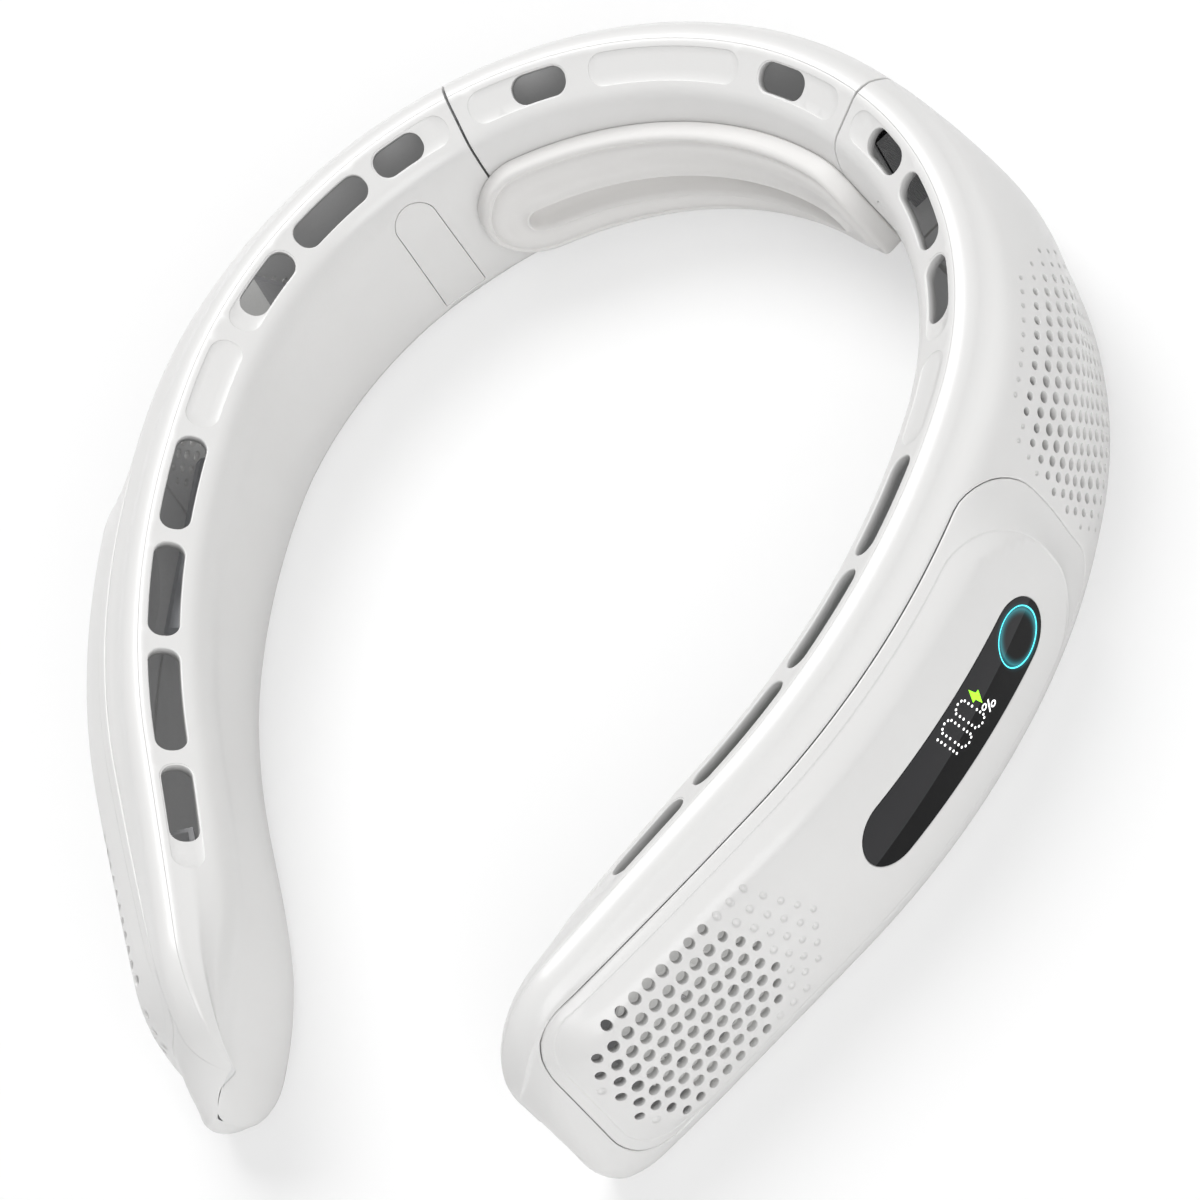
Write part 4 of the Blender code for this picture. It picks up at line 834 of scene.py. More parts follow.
def shell_plate(start, end, low, high, stations, edge, gap=0.0):
    """A plate of the housing's skin. The gap beside it closes towards the tip."""
    def skin(points, level):
        closed = np.clip((np.abs(points[:, 0]) - HALF_LENGTH) / GAP_FADE + 2, 0, 1)
        shift = closed * gap * (2 * points[:, 1] - low - high) / (high - low)
        return HOUSE.skin(points + np.stack([np.zeros_like(shift), shift], axis=1), level)

    rows = np.linspace(low, high, int((high - low) / ACROSS_STEP) + 1)
    plate = Plate(skin, WALL, straight_edged=True)
    plate.edge(straight_outline(start, end, low, high, stations, rows), edge)
    return plate, stations, rows


def strip_shape(start, end, half_width):
    """shape(grow) of a slot or a recess on the air strip."""
    corner = half_width - 0.25

    def shape(grow):
        box = (start, end, HOUSE.strip - half_width, HOUSE.strip + half_width)
        return rounded_box(box, (corner,) * 4, grow, 0.9)

    return shape


def punch_strip(plate, recesses, slots, edge):
    for start, end in recesses:
        plate.pocket(strip_shape(start, end, RECESS_HALF_WIDTH), RECESS_LIP, RECESS_DEPTH)
    for start, end in slots:
        in_recess = any(low <= start and end <= high for low, high in recesses)
        inset = SLOT_INSET if in_recess else 0
        radius = SLOT_INSET if in_recess else edge
        level = -RECESS_DEPTH if in_recess else 0.0
        plate.opening(strip_shape(start + inset, end - inset, SLOT_HALF_WIDTH), radius, level)


def as_skin(shape, to_v):
    """shape(grow) over places (s, h), moved to places (s, v)."""
    def skin_shape(grow):
        points = shape(grow)
        return np.stack([points[:, 0], to_v(points[:, 0], points[:, 1])], axis=1)

    return skin_shape


def cover_shape(grow):
    return rounded_box(COVER, COVER_CORNERS, grow, 1.2, 10)


def crest_shape(grow):
    return rounded_box(CREST, CREST_CORNERS, grow, 1.2, 14)


def hinge_cover_shape(grow):
    return rounded_box(HINGE_COVER, HINGE_COVER_CORNERS, grow, 1.0, 10)


def window_shape(grow):
    return rounded_box(WINDOW, (WINDOW_CORNER,) * 4, grow, 1.0, 12)


def out_in_field(s, h, field):
    """How far out a place lies in a field with rounded corners: 0 in its middle and 1 at its rim."""
    middle, half, power = field
    return (abs((s - middle[0]) / half[0]) ** power + abs((h - middle[1]) / half[1]) ** power) ** (1 / power)


def field_places(first, field, pitch, rows, reach):
    """Staggered places about the first, with how far out each lies in the field."""
    places = []
    half = field[1]
    lines = int(half[1] * reach / rows) + 2
    count = int(half[0] * reach / pitch) + 4
    for line in range(-lines, lines + 1):
        for k in range(-count, count + 1):
            s = first[0] + (k + (0.5 if line % 2 else 0)) * pitch
            h = first[1] + line * rows
            out = out_in_field(s, h, field)
            if out < reach:
                places.append((s, h, out))
    return places


def hole_share(out, loss, start):
    """Size of a hole against the widest one: holes lose the given share from the start to the rim."""
    return 1 - loss * float(ease((out - start) / (1 - start)))


def punch_upper_grille(plate):
    grille = settings("grille")
    radius = grille.upper_hole / MM / 2
    pitch, rows = grille.upper_pitch / MM, grille.upper_rows / MM
    for s, h, out in field_places(UPPER_START, UPPER_FIELD, pitch, rows, UPPER_REACH):
        if s > UPPER_END:
            continue
        middle = (s, float(HOUSE.outer_v(np.array([s]), np.array([h]))[0]))
        if out < 1:
            size = radius * hole_share(out, *UPPER_HOLE_LOSS)
            plate.opening(
                lambda grow, at=middle, r=size: round_hole(at, r + grow), UPPER_HOLE_EDGE, steps=2)
        else:
            plate.dimple(middle, UPPER_DIMPLE, grille.dimple / MM)


def punch_lower_grille(plate):
    grille = settings("grille")
    radius = grille.lower_hole / MM / 2
    pitch, rows = grille.lower_pitch / MM, grille.lower_rows / MM
    for s, h, _ in field_places(LOWER_START, LOWER_FIELD, pitch, rows, 1.0):
        middle = (s, h)
        out = out_in_field(s, h, LOWER_HOLES)
        if out < 1:
            size = radius * hole_share(out, *LOWER_HOLE_LOSS)
            plate.opening(
                lambda grow, at=middle, r=size: round_hole(at, r + grow, 16), LOWER_HOLE_EDGE, steps=2)
        elif out < LOWER_REACH:
            plate.dimple(middle, LOWER_DIMPLE - LOWER_DIMPLE_LOSS * (out - 1), grille.dimple / MM, 12)


# Shader nodes


class Wire:
    """An output of a node, on which sums are written as they are in Python."""

    def __init__(self, nodes, socket):
        self.nodes = nodes
        self.socket = socket

    def _sum(self, operation, first, second):
        return self.nodes.node("ShaderNodeMath", {"operation": operation}, {0: first, 1: second})

    def __add__(self, other):
        return self._sum("ADD", self, other)

    def __radd__(self, other):
        return self._sum("ADD", other, self)

    def __sub__(self, other):
        return self._sum("SUBTRACT", self, other)

    def __rsub__(self, other):
        return self._sum("SUBTRACT", other, self)

    def __mul__(self, other):
        return self._sum("MULTIPLY", self, other)

    def __rmul__(self, other):
        return self._sum("MULTIPLY", other, self)

    def __truediv__(self, other):
        return self._sum("DIVIDE", self, other)

    def __pow__(self, other):
        return self._sum("POWER", self, other)


class Nodes:
    """The node tree of a material or a world."""

    def __init__(self, owner):
        owner.use_nodes = True
        self.tree = owner.node_tree
        self.tree.nodes.clear()

    def node(self, kind, choices=None, inputs=None, output=0):
        """Add a node with its choices, then its values or links, and give one of its outputs."""
        node = self.tree.nodes.new(kind)
        for name, value in (choices or {}).items():
            setattr(node, name, value)
        for name, value in (inputs or {}).items():
            self.feed(node.inputs[name], value)
        return Wire(self, node.outputs[output]) if node.outputs else None

    def feed(self, socket, value):
        if isinstance(value, Wire):
            self.tree.links.new(value.socket, socket)
        elif hasattr(socket.default_value, "__len__") and len(socket.default_value) == 4 and len(value) == 3:
            socket.default_value = (*value, 1)
        else:
            socket.default_value = value


class Paint(Nodes):
    """One material, built node by node."""

    def __init__(self, name):
        self.material = bpy.data.materials.new(name)
        super().__init__(self.material)
        self.surface = self.node("ShaderNodeBsdfPrincipled")
        self.place = self.node("ShaderNodeTexCoord", output="Object")

    def set(self, **values):
        sockets = self.surface.socket.node.inputs
        for name, value in values.items():
            self.feed(sockets[name.replace("_", " ").title().replace("Ior", "IOR")], value)
        return self

    def done(self, shader=None):
        """The material, which shows its surface or another shader."""
        self.node("ShaderNodeOutputMaterial", {}, {"Surface": shader or self.surface})
        return self.material

    def noise(self, scale, detail=2.0):
        return self.node("ShaderNodeTexNoise", {}, {"Vector": self.place, "Scale": scale, "Detail": detail})

    def mix(self, factor, first, second):
        return self.node(
            "ShaderNodeMix", {"data_type": "RGBA"}, {0: factor, 6: tuple(first), 7: tuple(second)}, 2)

    def bump(self, height, distance):
        normal = self.node(
            "ShaderNodeBump", {}, {"Height": height, "Distance": distance, "Strength": 1.0}, "Normal")
        return self.set(normal=normal)


def satin_plastic(name, light, dark, roughness, coat):
    """Spark-textured moulded plastic with a faint drift in its tone."""
    paint = Paint(name)
    drift = paint.noise(34, 3)
    texture = paint.noise(2300, 2)
    paint.set(
        base_color=paint.mix(drift, light, dark), roughness=roughness - 0.05 + drift * 0.06 + texture * 0.05,
        coat_weight=coat, coat_roughness=0.16, ior=1.48)
    return paint.bump(texture, GRAIN).done()


def silicone(name, shade, roughness):
    """Soft silicone with a fine powdery skin."""
    paint = Paint(name)
    drift = paint.noise(60, 3)
    skin = paint.noise(3400, 3)
    darker = tuple(value * 0.965 for value in shade)
    paint.set(
        base_color=paint.mix(drift, shade, darker), roughness=roughness + skin * 0.1, sheen_weight=0.15,
        sheen_roughness=0.4, ior=1.42)
    return paint.bump(skin, POWDER).done()


def window_glass(name, black, reflection_grey, reflection_edge, ring_colour, ring_middle, glow):
    """Black window with a painted reflection for its grey upper part, and the painted glow of the lit ring's
    halo.
    """
    paint = Paint(name)
    dust = paint.noise(900, 3)
    above = paint.node(
        "ShaderNodeVectorMath", {"operation": "DOT_PRODUCT"}, {0: paint.place, 1: reflection_edge[0]}, "Value")
    # Painted reflection: share of the grey painted reflection, above its edge
    upper = paint.node(
        "ShaderNodeMath", {"operation": "MULTIPLY_ADD", "use_clamp": True},
        {0: above - reflection_edge[1], 1: REFLECTION_EDGE_SHARPNESS, 2: 0.5})
    far = paint.node(
        "ShaderNodeVectorMath", {"operation": "DISTANCE"}, {0: paint.place, 1: ring_middle}, "Value")
    from_ring = paint.node("ShaderNodeMath", {"operation": "ABSOLUTE"}, {0: far - RING_RADIUS * MM})
    halo = paint.node(
        "ShaderNodeMath", {"operation": "MAXIMUM"}, {0: 1 - from_ring / (HALO_WIDTH * MM), 1: 0.0})
    lit = (halo ** 3) * glow
    paint.set(
        base_color=paint.mix(upper, black, reflection_grey), roughness=0.05 + dust * 0.04, ior=1.25,
        emission_strength=1.0, emission_color=paint.mix(lit, (0, 0, 0), ring_colour))
    return paint.done()


def lit_mark(name, shade, strength):
    """A mark lit from behind the window."""
    paint = Paint(name)
    spread = paint.noise(5200, 1)
    paint.set(
        base_color=shade, roughness=0.25, emission_strength=strength,
        emission_color=paint.mix(spread * 0.25, shade, tuple(value * 0.8 for value in shade)))
    return paint.done()


def inner_moulding(name, light, dark, through=0.0):
    """Glass-filled nylon of the blowers; through is a painted glow that stands in for the light the thin
    white walls let in on it.
    """
    paint = Paint(name)
    fibres = paint.node(
        "ShaderNodeTexNoise", {}, {"Vector": paint.place, "Scale": 900, "Detail": 4, "Distortion": 1.5})
    paint.set(
        base_color=paint.mix(fibres, light, dark), roughness=0.42 + fibres * 0.15, emission_color=light,
        emission_strength=through)
    return paint.bump(fibres, FIBRES).done()


def turned_steel(name, shade):
    paint = Paint(name)
    rings = paint.node(
        "ShaderNodeTexWave", {"wave_type": "RINGS"}, {"Vector": paint.place, "Scale": 900, "Distortion": 2})
    paint.set(
        base_color=paint.mix(rings, shade, tuple(value * 0.8 for value in shade)), metallic=1.0,
        roughness=0.24 + rings * 0.12)
    return paint.bump(rings, TURNING).done()


def board_laminate(name):
    """Green solder mask over copper tracks."""
    paint = Paint(name)
    tracks = paint.node(
        "ShaderNodeTexBrick", {"offset": 0.37},
        {"Vector": paint.place, "Scale": 420, "Mortar Size": 0.06, "Color1": (0.012, 0.10, 0.04, 1),
         "Color2": (0.014, 0.12, 0.05, 1), "Mortar": (0.05, 0.24, 0.09, 1)}, "Color")
    return paint.set(base_color=tracks, roughness=0.3, coat_weight=0.4, coat_roughness=0.1).done()


def cell_wrap(name):
    """Silver foil pouch of a flat cell."""
    paint = Paint(name)
    creases = paint.node(
        "ShaderNodeTexVoronoi", {"feature": "DISTANCE_TO_EDGE"}, {"Vector": paint.place, "Scale": 130},
        "Distance")
    paint.set(
        base_color=paint.mix(creases, (0.60, 0.61, 0.63), (0.48, 0.49, 0.52)), metallic=0.8,
        roughness=0.3 + creases * 0.1)
    return paint.bump(creases, CREASES).done()


def reflection_edge_plane():
    """Upward direction of the plane that parts the window's black from its painted reflection, and its place
    along it.
    """
    ends = on_table(HOUSE.cover_face(np.array(REFLECTION_EDGE_LINE), 0.0))
    raised = on_table(HOUSE.cover_face(np.array(REFLECTION_EDGE_LINE), 1.0))
    up = np.cross(raised[0] + raised[1] - ends[0] - ends[1], ends[1] - ends[0])
    up /= np.linalg.norm(up) * np.sign(up[2])
    return tuple(up), float(up @ ends[0])


PAINTED = {}


def finish(name):
    """The named finish, mixed once."""
    if name in PAINTED:
        return PAINTED[name]
    housing, pad, display = settings("housing"), settings("pad"), settings("display")
    ring_middle = tuple(on_table(HOUSE.cover_face(np.array([BUTTON_PLACE]), 0.0))[0])
    makers = {
        "white moulding": lambda: satin_plastic(
            name, housing.white, housing.white_low, housing.roughness, housing.coat),
        "pad silicone": lambda: silicone(name, pad.white, pad.roughness),
        "window glass": lambda: window_glass(
            name, display.black, display.reflection_grey, reflection_edge_plane(), display.ring, ring_middle, HALO_SHARE),
        "lit ring": lambda: lit_mark(name, display.ring, display.glow),
        "lit digits": lambda: lit_mark(name, (0.95, 0.95, 0.95), display.glow * 0.75),
        "lit bolt": lambda: lit_mark(name, display.bolt, display.glow),
        # The inner finishes glow faintly: painted light for the light let in through the thin white walls;
        # the nylon of the impellers and inlet plates is painted lighter and glows more
        "moulding inside": lambda: inner_moulding(name, (0.72, 0.72, 0.72), (0.66, 0.66, 0.66), 0.05),
        "blower nylon": lambda: inner_moulding(name, (0.40, 0.40, 0.41), (0.32, 0.32, 0.33), 0.1),
        "blower nylon painted lit": lambda: inner_moulding(name, (0.58, 0.58, 0.57), (0.50, 0.50, 0.49), 0.35),
        "turned steel": lambda: turned_steel(name, (0.62, 0.62, 0.63)),
        "solder mask": lambda: board_laminate(name),
        "cell pouch": lambda: cell_wrap(name),
    }
    PAINTED[name] = makers[name]()
    return PAINTED[name]


def on_table(corners):
    """Corners in millimetres along the housing, as metres in the table's frame."""
    return (np.asarray(corners) + (0, LINE_BACK, 0)) * MM


# Operators, one for each piece or group of like pieces


class FAN_OT_back_shells(bpy.types.Operator):
    """Build the outer and the inner shell of the back, with its part of the air strip"""
    bl_idname = "neck_fan.back_shells"
    bl_label = "Back shells"

    def execute(self, context):
        housing = settings("housing")
        end = SEAM_PLACE - housing.seam / MM / 2
        stations = np.arange(-end, end, ALONG_STEP)
        half = housing.parting / MM / 2
        edge = housing.edge / MM
        plate, s, v = shell_plate(-end, end, HOUSE.parting + half, HOUSE.end - half, stations, edge)
        plate.fill(s, v)
        finish_shell(add_piece("back_outer_moulding", *plate.build()), "back", ["back_outer_shell"])
        plate, s, v = shell_plate(-end, end, half, HOUSE.parting - half, stations, edge)
        punch_strip(plate, BACK_RECESSES, BACK_SLOTS, housing.slot_edge / MM)
        plate.fill(s, v)
        finish_shell(add_piece("back_inner_moulding", *plate.build()), "back", ["back_inner_shell"])
        return {"FINISHED"}


class FAN_OT_arm_shells(bpy.types.Operator):
    """Build the outer and the inner shell of both arms, with the upper grilles and the slots"""
    bl_idname = "neck_fan.arm_shells"
    bl_label = "Arm shells"

    def execute(self, context):
        housing = settings("housing")
        start = SEAM_PLACE + housing.seam / MM / 2
        end = HALF_LENGTH + HOUSE.CAP
        stations = shell_stations(start)
        half = housing.parting / MM / 2
        edge = housing.edge / MM
        gap = housing.cover_gap / MM
        plate, s, v = shell_plate(start, end, HOUSE.parting + half, HOUSE.end - half, stations, edge, half)
        plate.opening(as_skin(lambda grow: cover_shape(grow + gap / 2), HOUSE.outer_v), COVER_EDGE)
        punch_upper_grille(plate)
        plate.fill(s, v)
        made = plate.build()
        for hand in ("left", "right"):
            finish_shell(add_side(hand, "_outer_moulding", made), hand + "_arm", [hand + "_outer_shell"])
        for hand in ("left", "right"):
            plate, s, v = shell_plate(start, end, half, HOUSE.parting - half, stations, edge, half)
            punch_strip(plate, ARM_RECESSES, ARM_SLOTS, housing.slot_edge / MM)
            hole = as_skin(lambda grow: hinge_cover_shape(grow + HINGE_COVER_HALF_GAP), HOUSE.inner_v)
            plate.opening(hole, FINE_EDGE)
            if hand == "left":
                plate.opening(lambda grow: rounded_box(INLET, (INLET_CORNER,) * 4, grow, 0.8, 6), INLET_EDGE)
            plate.fill(s, v)
            made = plate.build()
            finish_shell(add_side(hand, "_inner_moulding", made), hand + "_arm", [hand + "_inner_shell"])
        return {"FINISHED"}


class FAN_OT_side_covers(bpy.types.Operator):
    """Build both raised side covers with the lower grilles, and the window's seat in the left one"""
    bl_idname = "neck_fan.side_covers"
    bl_label = "Side covers"

    def execute(self, context):
        gap = settings("housing").cover_gap / MM
        stations = np.arange(COVER[0], COVER[1], ALONG_STEP)
        rows = np.arange(COVER[2], COVER[3], ACROSS_STEP)
        for hand in ("left", "right"):
            plate = Plate(HOUSE.cover_face, COVER_DEPTH)
            plate.edge(lambda grow: cover_shape(grow - gap / 2), COVER_EDGE)
            if hand == "left":
                seat = WINDOW_DEPTH + WINDOW_GAP
                plate.pocket(lambda grow: window_shape(grow + WINDOW_GAP), SEAT_EDGE, seat)
                plate.loop(round_hole(BUTTON_PLACE, BUTTON_HOLE, 48), -seat, hole=True)
            for inset in COVER_INSETS:
                plate.loop(cover_shape(-inset))
            for grow in CREST_GROWS:
                plate.loop(crest_shape(grow))
            punch_lower_grille(plate)
            plate.fill(stations, rows)
            made = plate.build()
            finish_shell(add_side(hand, "_cover_moulding", made), hand + "_arm", [hand + "_side_cover"])
        return {"FINISHED"}


class FAN_OT_hinge_covers(bpy.types.Operator):
    """Build the long plates beside the seams that cover the hinges"""
    bl_idname = "neck_fan.hinge_covers"
    bl_label = "Hinge covers"

    def execute(self, context):
        plate = Plate(HOUSE.inner_side, HINGE_COVER_DEPTH)
        plate.edge(lambda grow: hinge_cover_shape(grow - HINGE_COVER_HALF_GAP), FINE_EDGE)
        start, end, low, high = HINGE_COVER
        plate.fill(
            np.arange(start, end, HINGE_COVER_STEP), np.arange(low, high, ACROSS_STEP), HINGE_COVER_CLEAR)
        made = plate.build()
        for hand in ("left", "right"):
            finish_piece(
                add_side(hand, "_hinge_plate", made), hand + "_arm", [finish("white moulding")],
                [hand + "_hinge_cover"])
        return {"FINISHED"}


class FAN_OT_neck_pad(bpy.types.Operator):
    """Build the soft silicone loop at the back of the neck"""
    bl_idname = "neck_fan.neck_pad"
    bl_label = "Neck pad"

    def execute(self, context):
        half_height = (PAD_HIGH - PAD_LOW) / 2
        middle = (PAD_HIGH + PAD_LOW) / 2
        straight_half = PAD_HALF_LENGTH - half_height
        ends = np.radians(np.linspace(-90, 90, PAD_END_STEPS + 1))
        side = np.linspace(straight_half, -straight_half, PAD_SIDE_STEPS + 1)[1:-1]
        loops = []
        for inset, level in PAD_SECTION:
            radius = half_height - inset
            points = [(straight_half + radius * cos(a), middle + radius * sin(a)) for a in ends]
            points += [(s, middle + radius) for s in side]
            points += [(-straight_half - radius * cos(a), middle - radius * sin(a)) for a in ends]
            points += [(s, middle - radius) for s in side[::-1]]
            loops.append(HOUSE.inner_side(np.array(points), level))
        corners, faces = stack_loops(loops, capped=False)
        count = len(loops[0])
        lid = across(count, PAD_END_STEPS)
        faces += [face[::-1] for face in lid]
        faces += [tuple(corner + len(corners) - count for corner in face) for face in lid]
        piece = add_piece("neck_cushion", corners, faces)
        settings("pad").fill
        finish_piece(piece, "back", [finish("pad silicone")], ["neck_pad"])
        return {"FINISHED"}


def cover_ring(middle, profile, count, closed):
    """A turned form on the cover's face: profile gives radius and level."""
    loops = [HOUSE.cover_face(round_hole(middle, radius, count), level) for radius, level in profile]
    return stack_loops(loops, closed)


def cover_dot(middle):
    """One lit dot of the figures."""
    return cover_ring(middle, ((DOT_RADIUS, 0.0), (DOT_RADIUS, 0.04), (DOT_RADIUS * 0.6, 0.07)), 10, False)


def joined(parts):
    """Corners and faces of several forms as one."""
    corners, faces, first = [], [], 0
    for part_corners, part_faces in parts:
        corners.append(part_corners)
        faces += [tuple(corner + first for corner in face) for face in part_faces]
        first += len(part_corners)
    return np.vstack(corners), faces


def cover_slip(outline, low, high):
    """A thin flat mark with the given outline on the cover's face."""
    points = np.array(outline, float)
    return stack_loops([HOUSE.cover_face(points, low), HOUSE.cover_face(points, high)])


def digit_dots():
    """Dotted figures one hundred, read towards the button."""
    dots = []
    strokes = [((172.8, 25.8), (171.9, 20.2))]
    for shift in (0.0, FIGURE_STEP):
        fall = shift * FIGURE_SLOPE
        strokes.append(((171.5 - shift, 25.7 - fall), (170.6 - shift, 20.0 - fall)))
        strokes.append(((169.0 - shift, 25.6 - fall), (168.1 - shift, 20.0 - fall)))
        for up, lean, bow in ((26.25, 0.0, 0.32), (19.35, -1.1, -0.32)):
            for k, rise in ((-1, 0.0), (0, bow), (1, 0.0)):
                dots.append((170.25 - shift - k * 0.82 + lean, up + rise - fall))
    for top, foot in strokes:
        for place in STROKE_DOTS:
            f = place / STROKE_DOTS[-1]
            dots.append((top[0] + (foot[0] - top[0]) * f, top[1] + (foot[1] - top[1]) * f))
    return dots


class FAN_OT_display(bpy.types.Operator):
    """Build the black window, the lit ring and button in it, and its lit figures"""
    bl_idname = "neck_fan.display"
    bl_label = "Display"

    def execute(self, context):
        self.window()
        self.ring()
        self.button()
        self.figures()
        return {"FINISHED"}

    def window(self):
        plate = Plate(HOUSE.cover_face, WINDOW_DEPTH)
        plate.edge(window_shape, FINE_EDGE)
        plate.opening(lambda grow: round_hole(BUTTON_PLACE, BUTTON_HOLE + grow, 64), 0.05)
        start, end, low, high = WINDOW
        along, across_it = WINDOW_STEPS
        plate.fill(np.arange(start, end, along), np.arange(low, high, across_it), WINDOW_CLEAR)
        finish_piece(
            add_piece("display_glass", *plate.build()), "left_arm", [finish("window glass")],
            ["display_window"])

    def ring(self):
        depth, mid, half = RING_DEPTH, RING_RADIUS, RING_HALF_WIDTH
        profile = (
            (mid + half, -depth), (mid + half, -0.08), (mid + half * 0.6, 0.0), (mid - half * 0.6, 0.0),
            (mid - half, -0.06), (mid, -0.35), (mid + half * 0.4, -depth))
        finish_piece(
            add_piece("lit_ring", *cover_ring(BUTTON_PLACE, profile, 96, True)), "left_arm",
            [finish("lit ring")], ["light_ring"])

    def button(self):
        edge = BUTTON_RADIUS
        profile = (
            (edge - 0.3, -BUTTON_DEPTH), (edge - 0.03, -0.5), (edge, -0.15), (edge - 0.06, -0.04),
            (edge - 0.2, 0.02), (edge - 0.9, 0.03), (edge * 0.5, -0.04), (0.3, -0.08))
        # The button wears the window glass, with its painted reflection and painted halo glow
        finish_piece(
            add_piece("power_key", *cover_ring(BUTTON_PLACE, profile, 72, False)), "button",
            [finish("window glass")], ["power_button"])

    def figures(self):
        marks = [cover_dot(dot) for dot in digit_dots()]
        for middle in PER_CENT_RINGS:
            profile = ((0.62, 0.0), (0.62, 0.05), (0.36, 0.05), (0.36, 0.0))
            marks.append(cover_ring(middle, profile, 20, True))
        marks.append(cover_slip(PER_CENT_BAR, 0.0, 0.05))
        finish_piece(
            add_piece("lit_figures", *joined(marks)), "left_arm", [finish("lit digits")], [])
        bolt = cover_slip(BOLT, 0.0, 0.06)
        finish_piece(add_piece("lit_bolt", *bolt), "left_arm", [finish("lit bolt")], [])


class FAN_OT_inner_parts(bpy.types.Operator):
    """Give the blowers, hinges, cells and boards inside their finishes"""
    bl_idname = "neck_fan.inner_parts"
    bl_label = "Inner parts"

    # Impellers and inlet plates take the blower nylon painted lighter and glowing more: painted light
    FINISHES = (
        ("impeller", "blower nylon painted lit"), ("volute", "blower nylon"), ("inlet_plate", "blower nylon painted lit"),
        ("motor", "turned steel"), ("hinge_leaf", "turned steel"), ("hinge_pin", "turned steel"),
        ("battery", "cell pouch"), ("board", "solder mask"), ("button_switch", "blower nylon"),
        ("charging_inlet", "turned steel"),
    )

    def execute(self, context):
        for name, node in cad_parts.items():
            if node.hide_render:
                continue
            matches = [look for part, look in self.FINISHES if part in name]
            if not matches:
                raise RuntimeError("no finish for " + name)
            for place in node.material_slots:
                place.material = finish(matches[0])
        return {"FINISHED"}


def add_lamp(name, middle, target, size, power):
    lamp = bpy.data.lights.new(name, "AREA")
    lamp.shape = "DISK"
    lamp.size = size
    lamp.energy = power
    holder = add_object(name, lamp)
    holder.location = middle
    holder.rotation_euler = (Vector(target) - Vector(middle)).to_track_quat("-Z", "Y").to_euler()


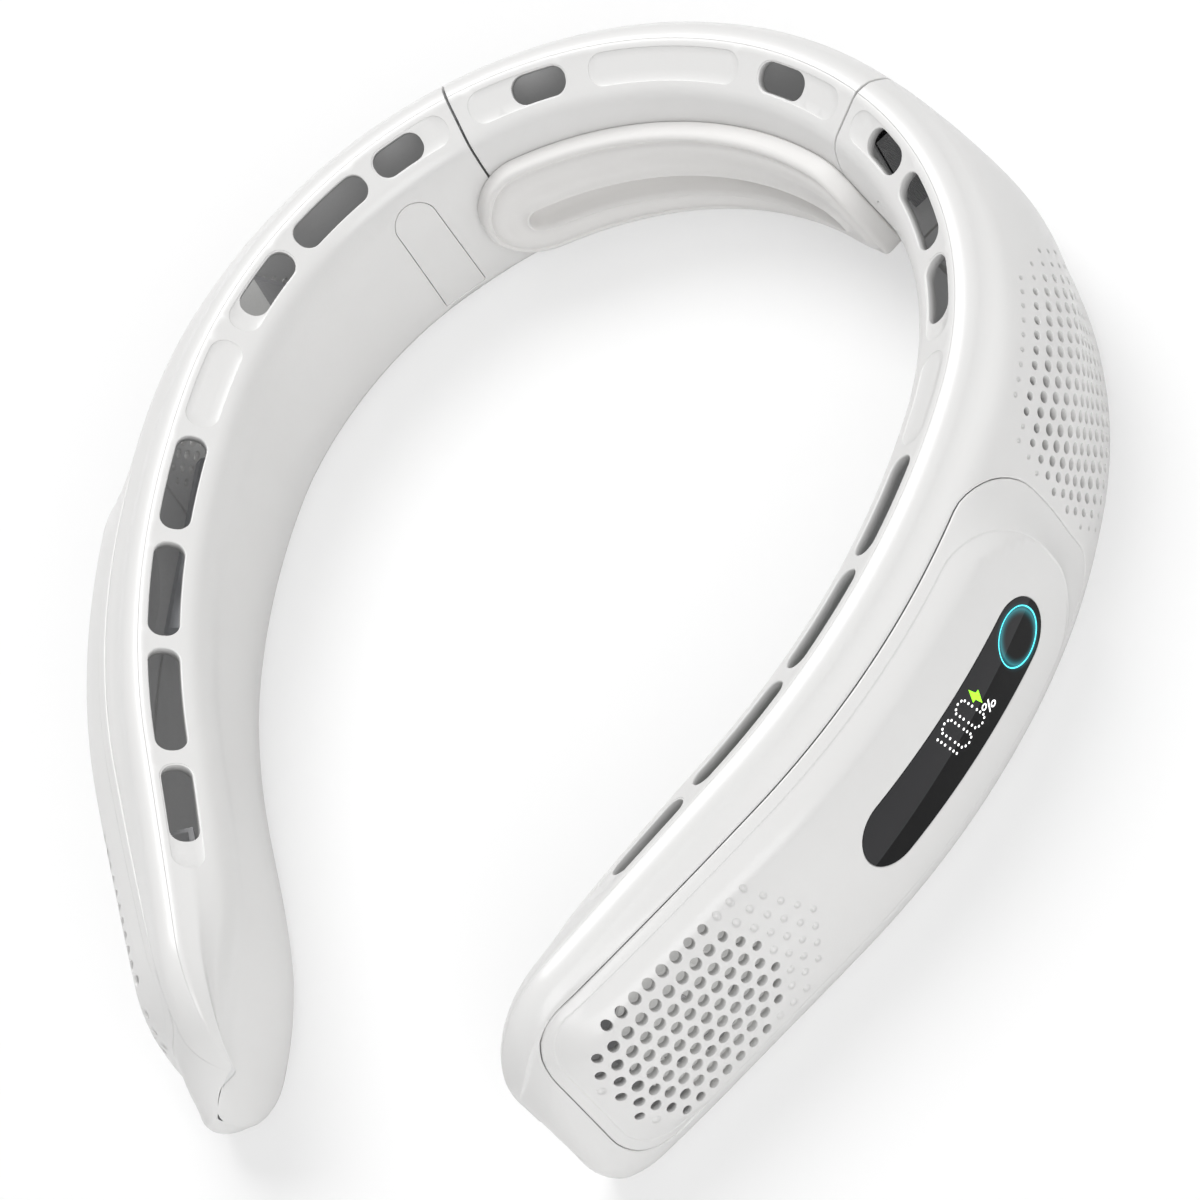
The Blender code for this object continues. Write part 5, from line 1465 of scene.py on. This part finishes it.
class FAN_OT_stage(bpy.types.Operator):
    """Set the floor, the lamps, the surroundings and the camera"""
    bl_idname = "neck_fan.stage"
    bl_label = "Stage"

    OVERHEAD_LAMP = ((-0.45, 0.55, 1.25), (0, 0, 0), 0.9)
    SIDE_LAMP = ((0.95, -0.85, 0.95), (0, 0, 0.02), 1.0)
    FLOOR_REACH = 3.0
    CAMERA_PLACE = (0.4290, -0.3847, 0.6789)
    CAMERA_RIGHT = (0.8748, 0.2800, -0.3954)
    CAMERA_UP = (-0.0395, 0.8545, 0.5179)

    def execute(self, context):
        stage = settings("stage")
        self.floor(stage)
        self.surroundings(stage)
        add_lamp("overhead lamp", *self.OVERHEAD_LAMP, stage.key)
        add_lamp("side lamp", *self.SIDE_LAMP, stage.side)
        camera = bpy.data.cameras.new("photo camera")
        camera.sensor_width = 36
        camera.lens = stage.lens
        camera.clip_start = 0.01
        holder = add_object("photo camera", camera)
        right = Vector(self.CAMERA_RIGHT).normalized()
        up = Vector(self.CAMERA_UP)
        up = (up - right * up.dot(right)).normalized()
        back = right.cross(up)
        turn = Matrix((right, up, back)).transposed().to_4x4()
        holder.matrix_world = Matrix.Translation(self.CAMERA_PLACE) @ turn
        context.scene.camera = holder
        context.scene.view_settings.view_transform = "Standard"
        return {"FINISHED"}

    def floor(self, stage):
        reach = self.FLOOR_REACH
        corners = [(-reach, -reach, 0), (reach, -reach, 0), (reach, reach, 0), (-reach, reach, 0)]
        mesh = bpy.data.meshes.new("floor")
        mesh.from_pydata(corners, [], [(0, 1, 2, 3)])
        floor = add_object("floor", mesh)
        paint = Paint("floor paper")
        seen = paint.node("ShaderNodeLightPath", output="Is Camera Ray")
        paint.set(base_color=paint.mix(seen, stage.floor_bounce, stage.floor), roughness=0.9)
        white = paint.node("ShaderNodeEmission", {}, {"Color": (1, 1, 1), "Strength": 1.0})
        mixed = paint.node(
            "ShaderNodeMixShader", {}, {0: seen * stage.floor_glow, 1: paint.surface, 2: white})
        mesh.materials.append(paint.done(mixed))

    def surroundings(self, stage):
        world = bpy.data.worlds.new("white surroundings")
        bpy.context.scene.world = world
        sky = Nodes(world)
        soft = sky.node("ShaderNodeBackground", {}, {"Color": (1, 1, 1), "Strength": stage.sky})
        white = sky.node("ShaderNodeBackground", {}, {"Color": (1, 1, 1), "Strength": 1.0})
        seen = sky.node("ShaderNodeLightPath", output="Is Camera Ray")
        mixed = sky.node("ShaderNodeMixShader", {}, {0: seen, 1: soft, 2: white})
        sky.node("ShaderNodeOutputWorld", {}, {"Surface": mixed})


OPERATORS = (
    FAN_OT_back_shells, FAN_OT_arm_shells, FAN_OT_side_covers, FAN_OT_hinge_covers, FAN_OT_neck_pad,
    FAN_OT_display, FAN_OT_inner_parts, FAN_OT_stage,
)


class FAN_PT_panel(bpy.types.Panel):
    """Lists the pieces of the neck fan and their settings"""
    bl_idname = "FAN_PT_panel"
    bl_label = "Neck fan"
    bl_space_type = "VIEW_3D"
    bl_region_type = "UI"
    bl_category = "Neck fan"

    def draw(self, context):
        for operator in OPERATORS:
            self.layout.operator(operator.bl_idname)
        for name, group in SETTINGS.items():
            box = self.layout.box()
            for setting in group.__annotations__:
                box.prop(getattr(context.scene, name), setting)


def register():
    for kind in (*SETTINGS.values(), *OPERATORS, FAN_PT_panel):
        bpy.utils.register_class(kind)
    for name, group in SETTINGS.items():
        setattr(bpy.types.Scene, name, bpy.props.PointerProperty(type=group))


def unregister():
    for name in SETTINGS:
        delattr(bpy.types.Scene, name)
    for kind in (FAN_PT_panel, *OPERATORS[::-1], *list(SETTINGS.values())[::-1]):
        bpy.utils.unregister_class(kind)


def main():
    register()
    for step in (
        bpy.ops.neck_fan.back_shells, bpy.ops.neck_fan.arm_shells, bpy.ops.neck_fan.side_covers,
        bpy.ops.neck_fan.hinge_covers, bpy.ops.neck_fan.neck_pad, bpy.ops.neck_fan.display,
        bpy.ops.neck_fan.inner_parts, bpy.ops.neck_fan.stage,
    ):
        step()


if __name__ == "__main__":
    main()
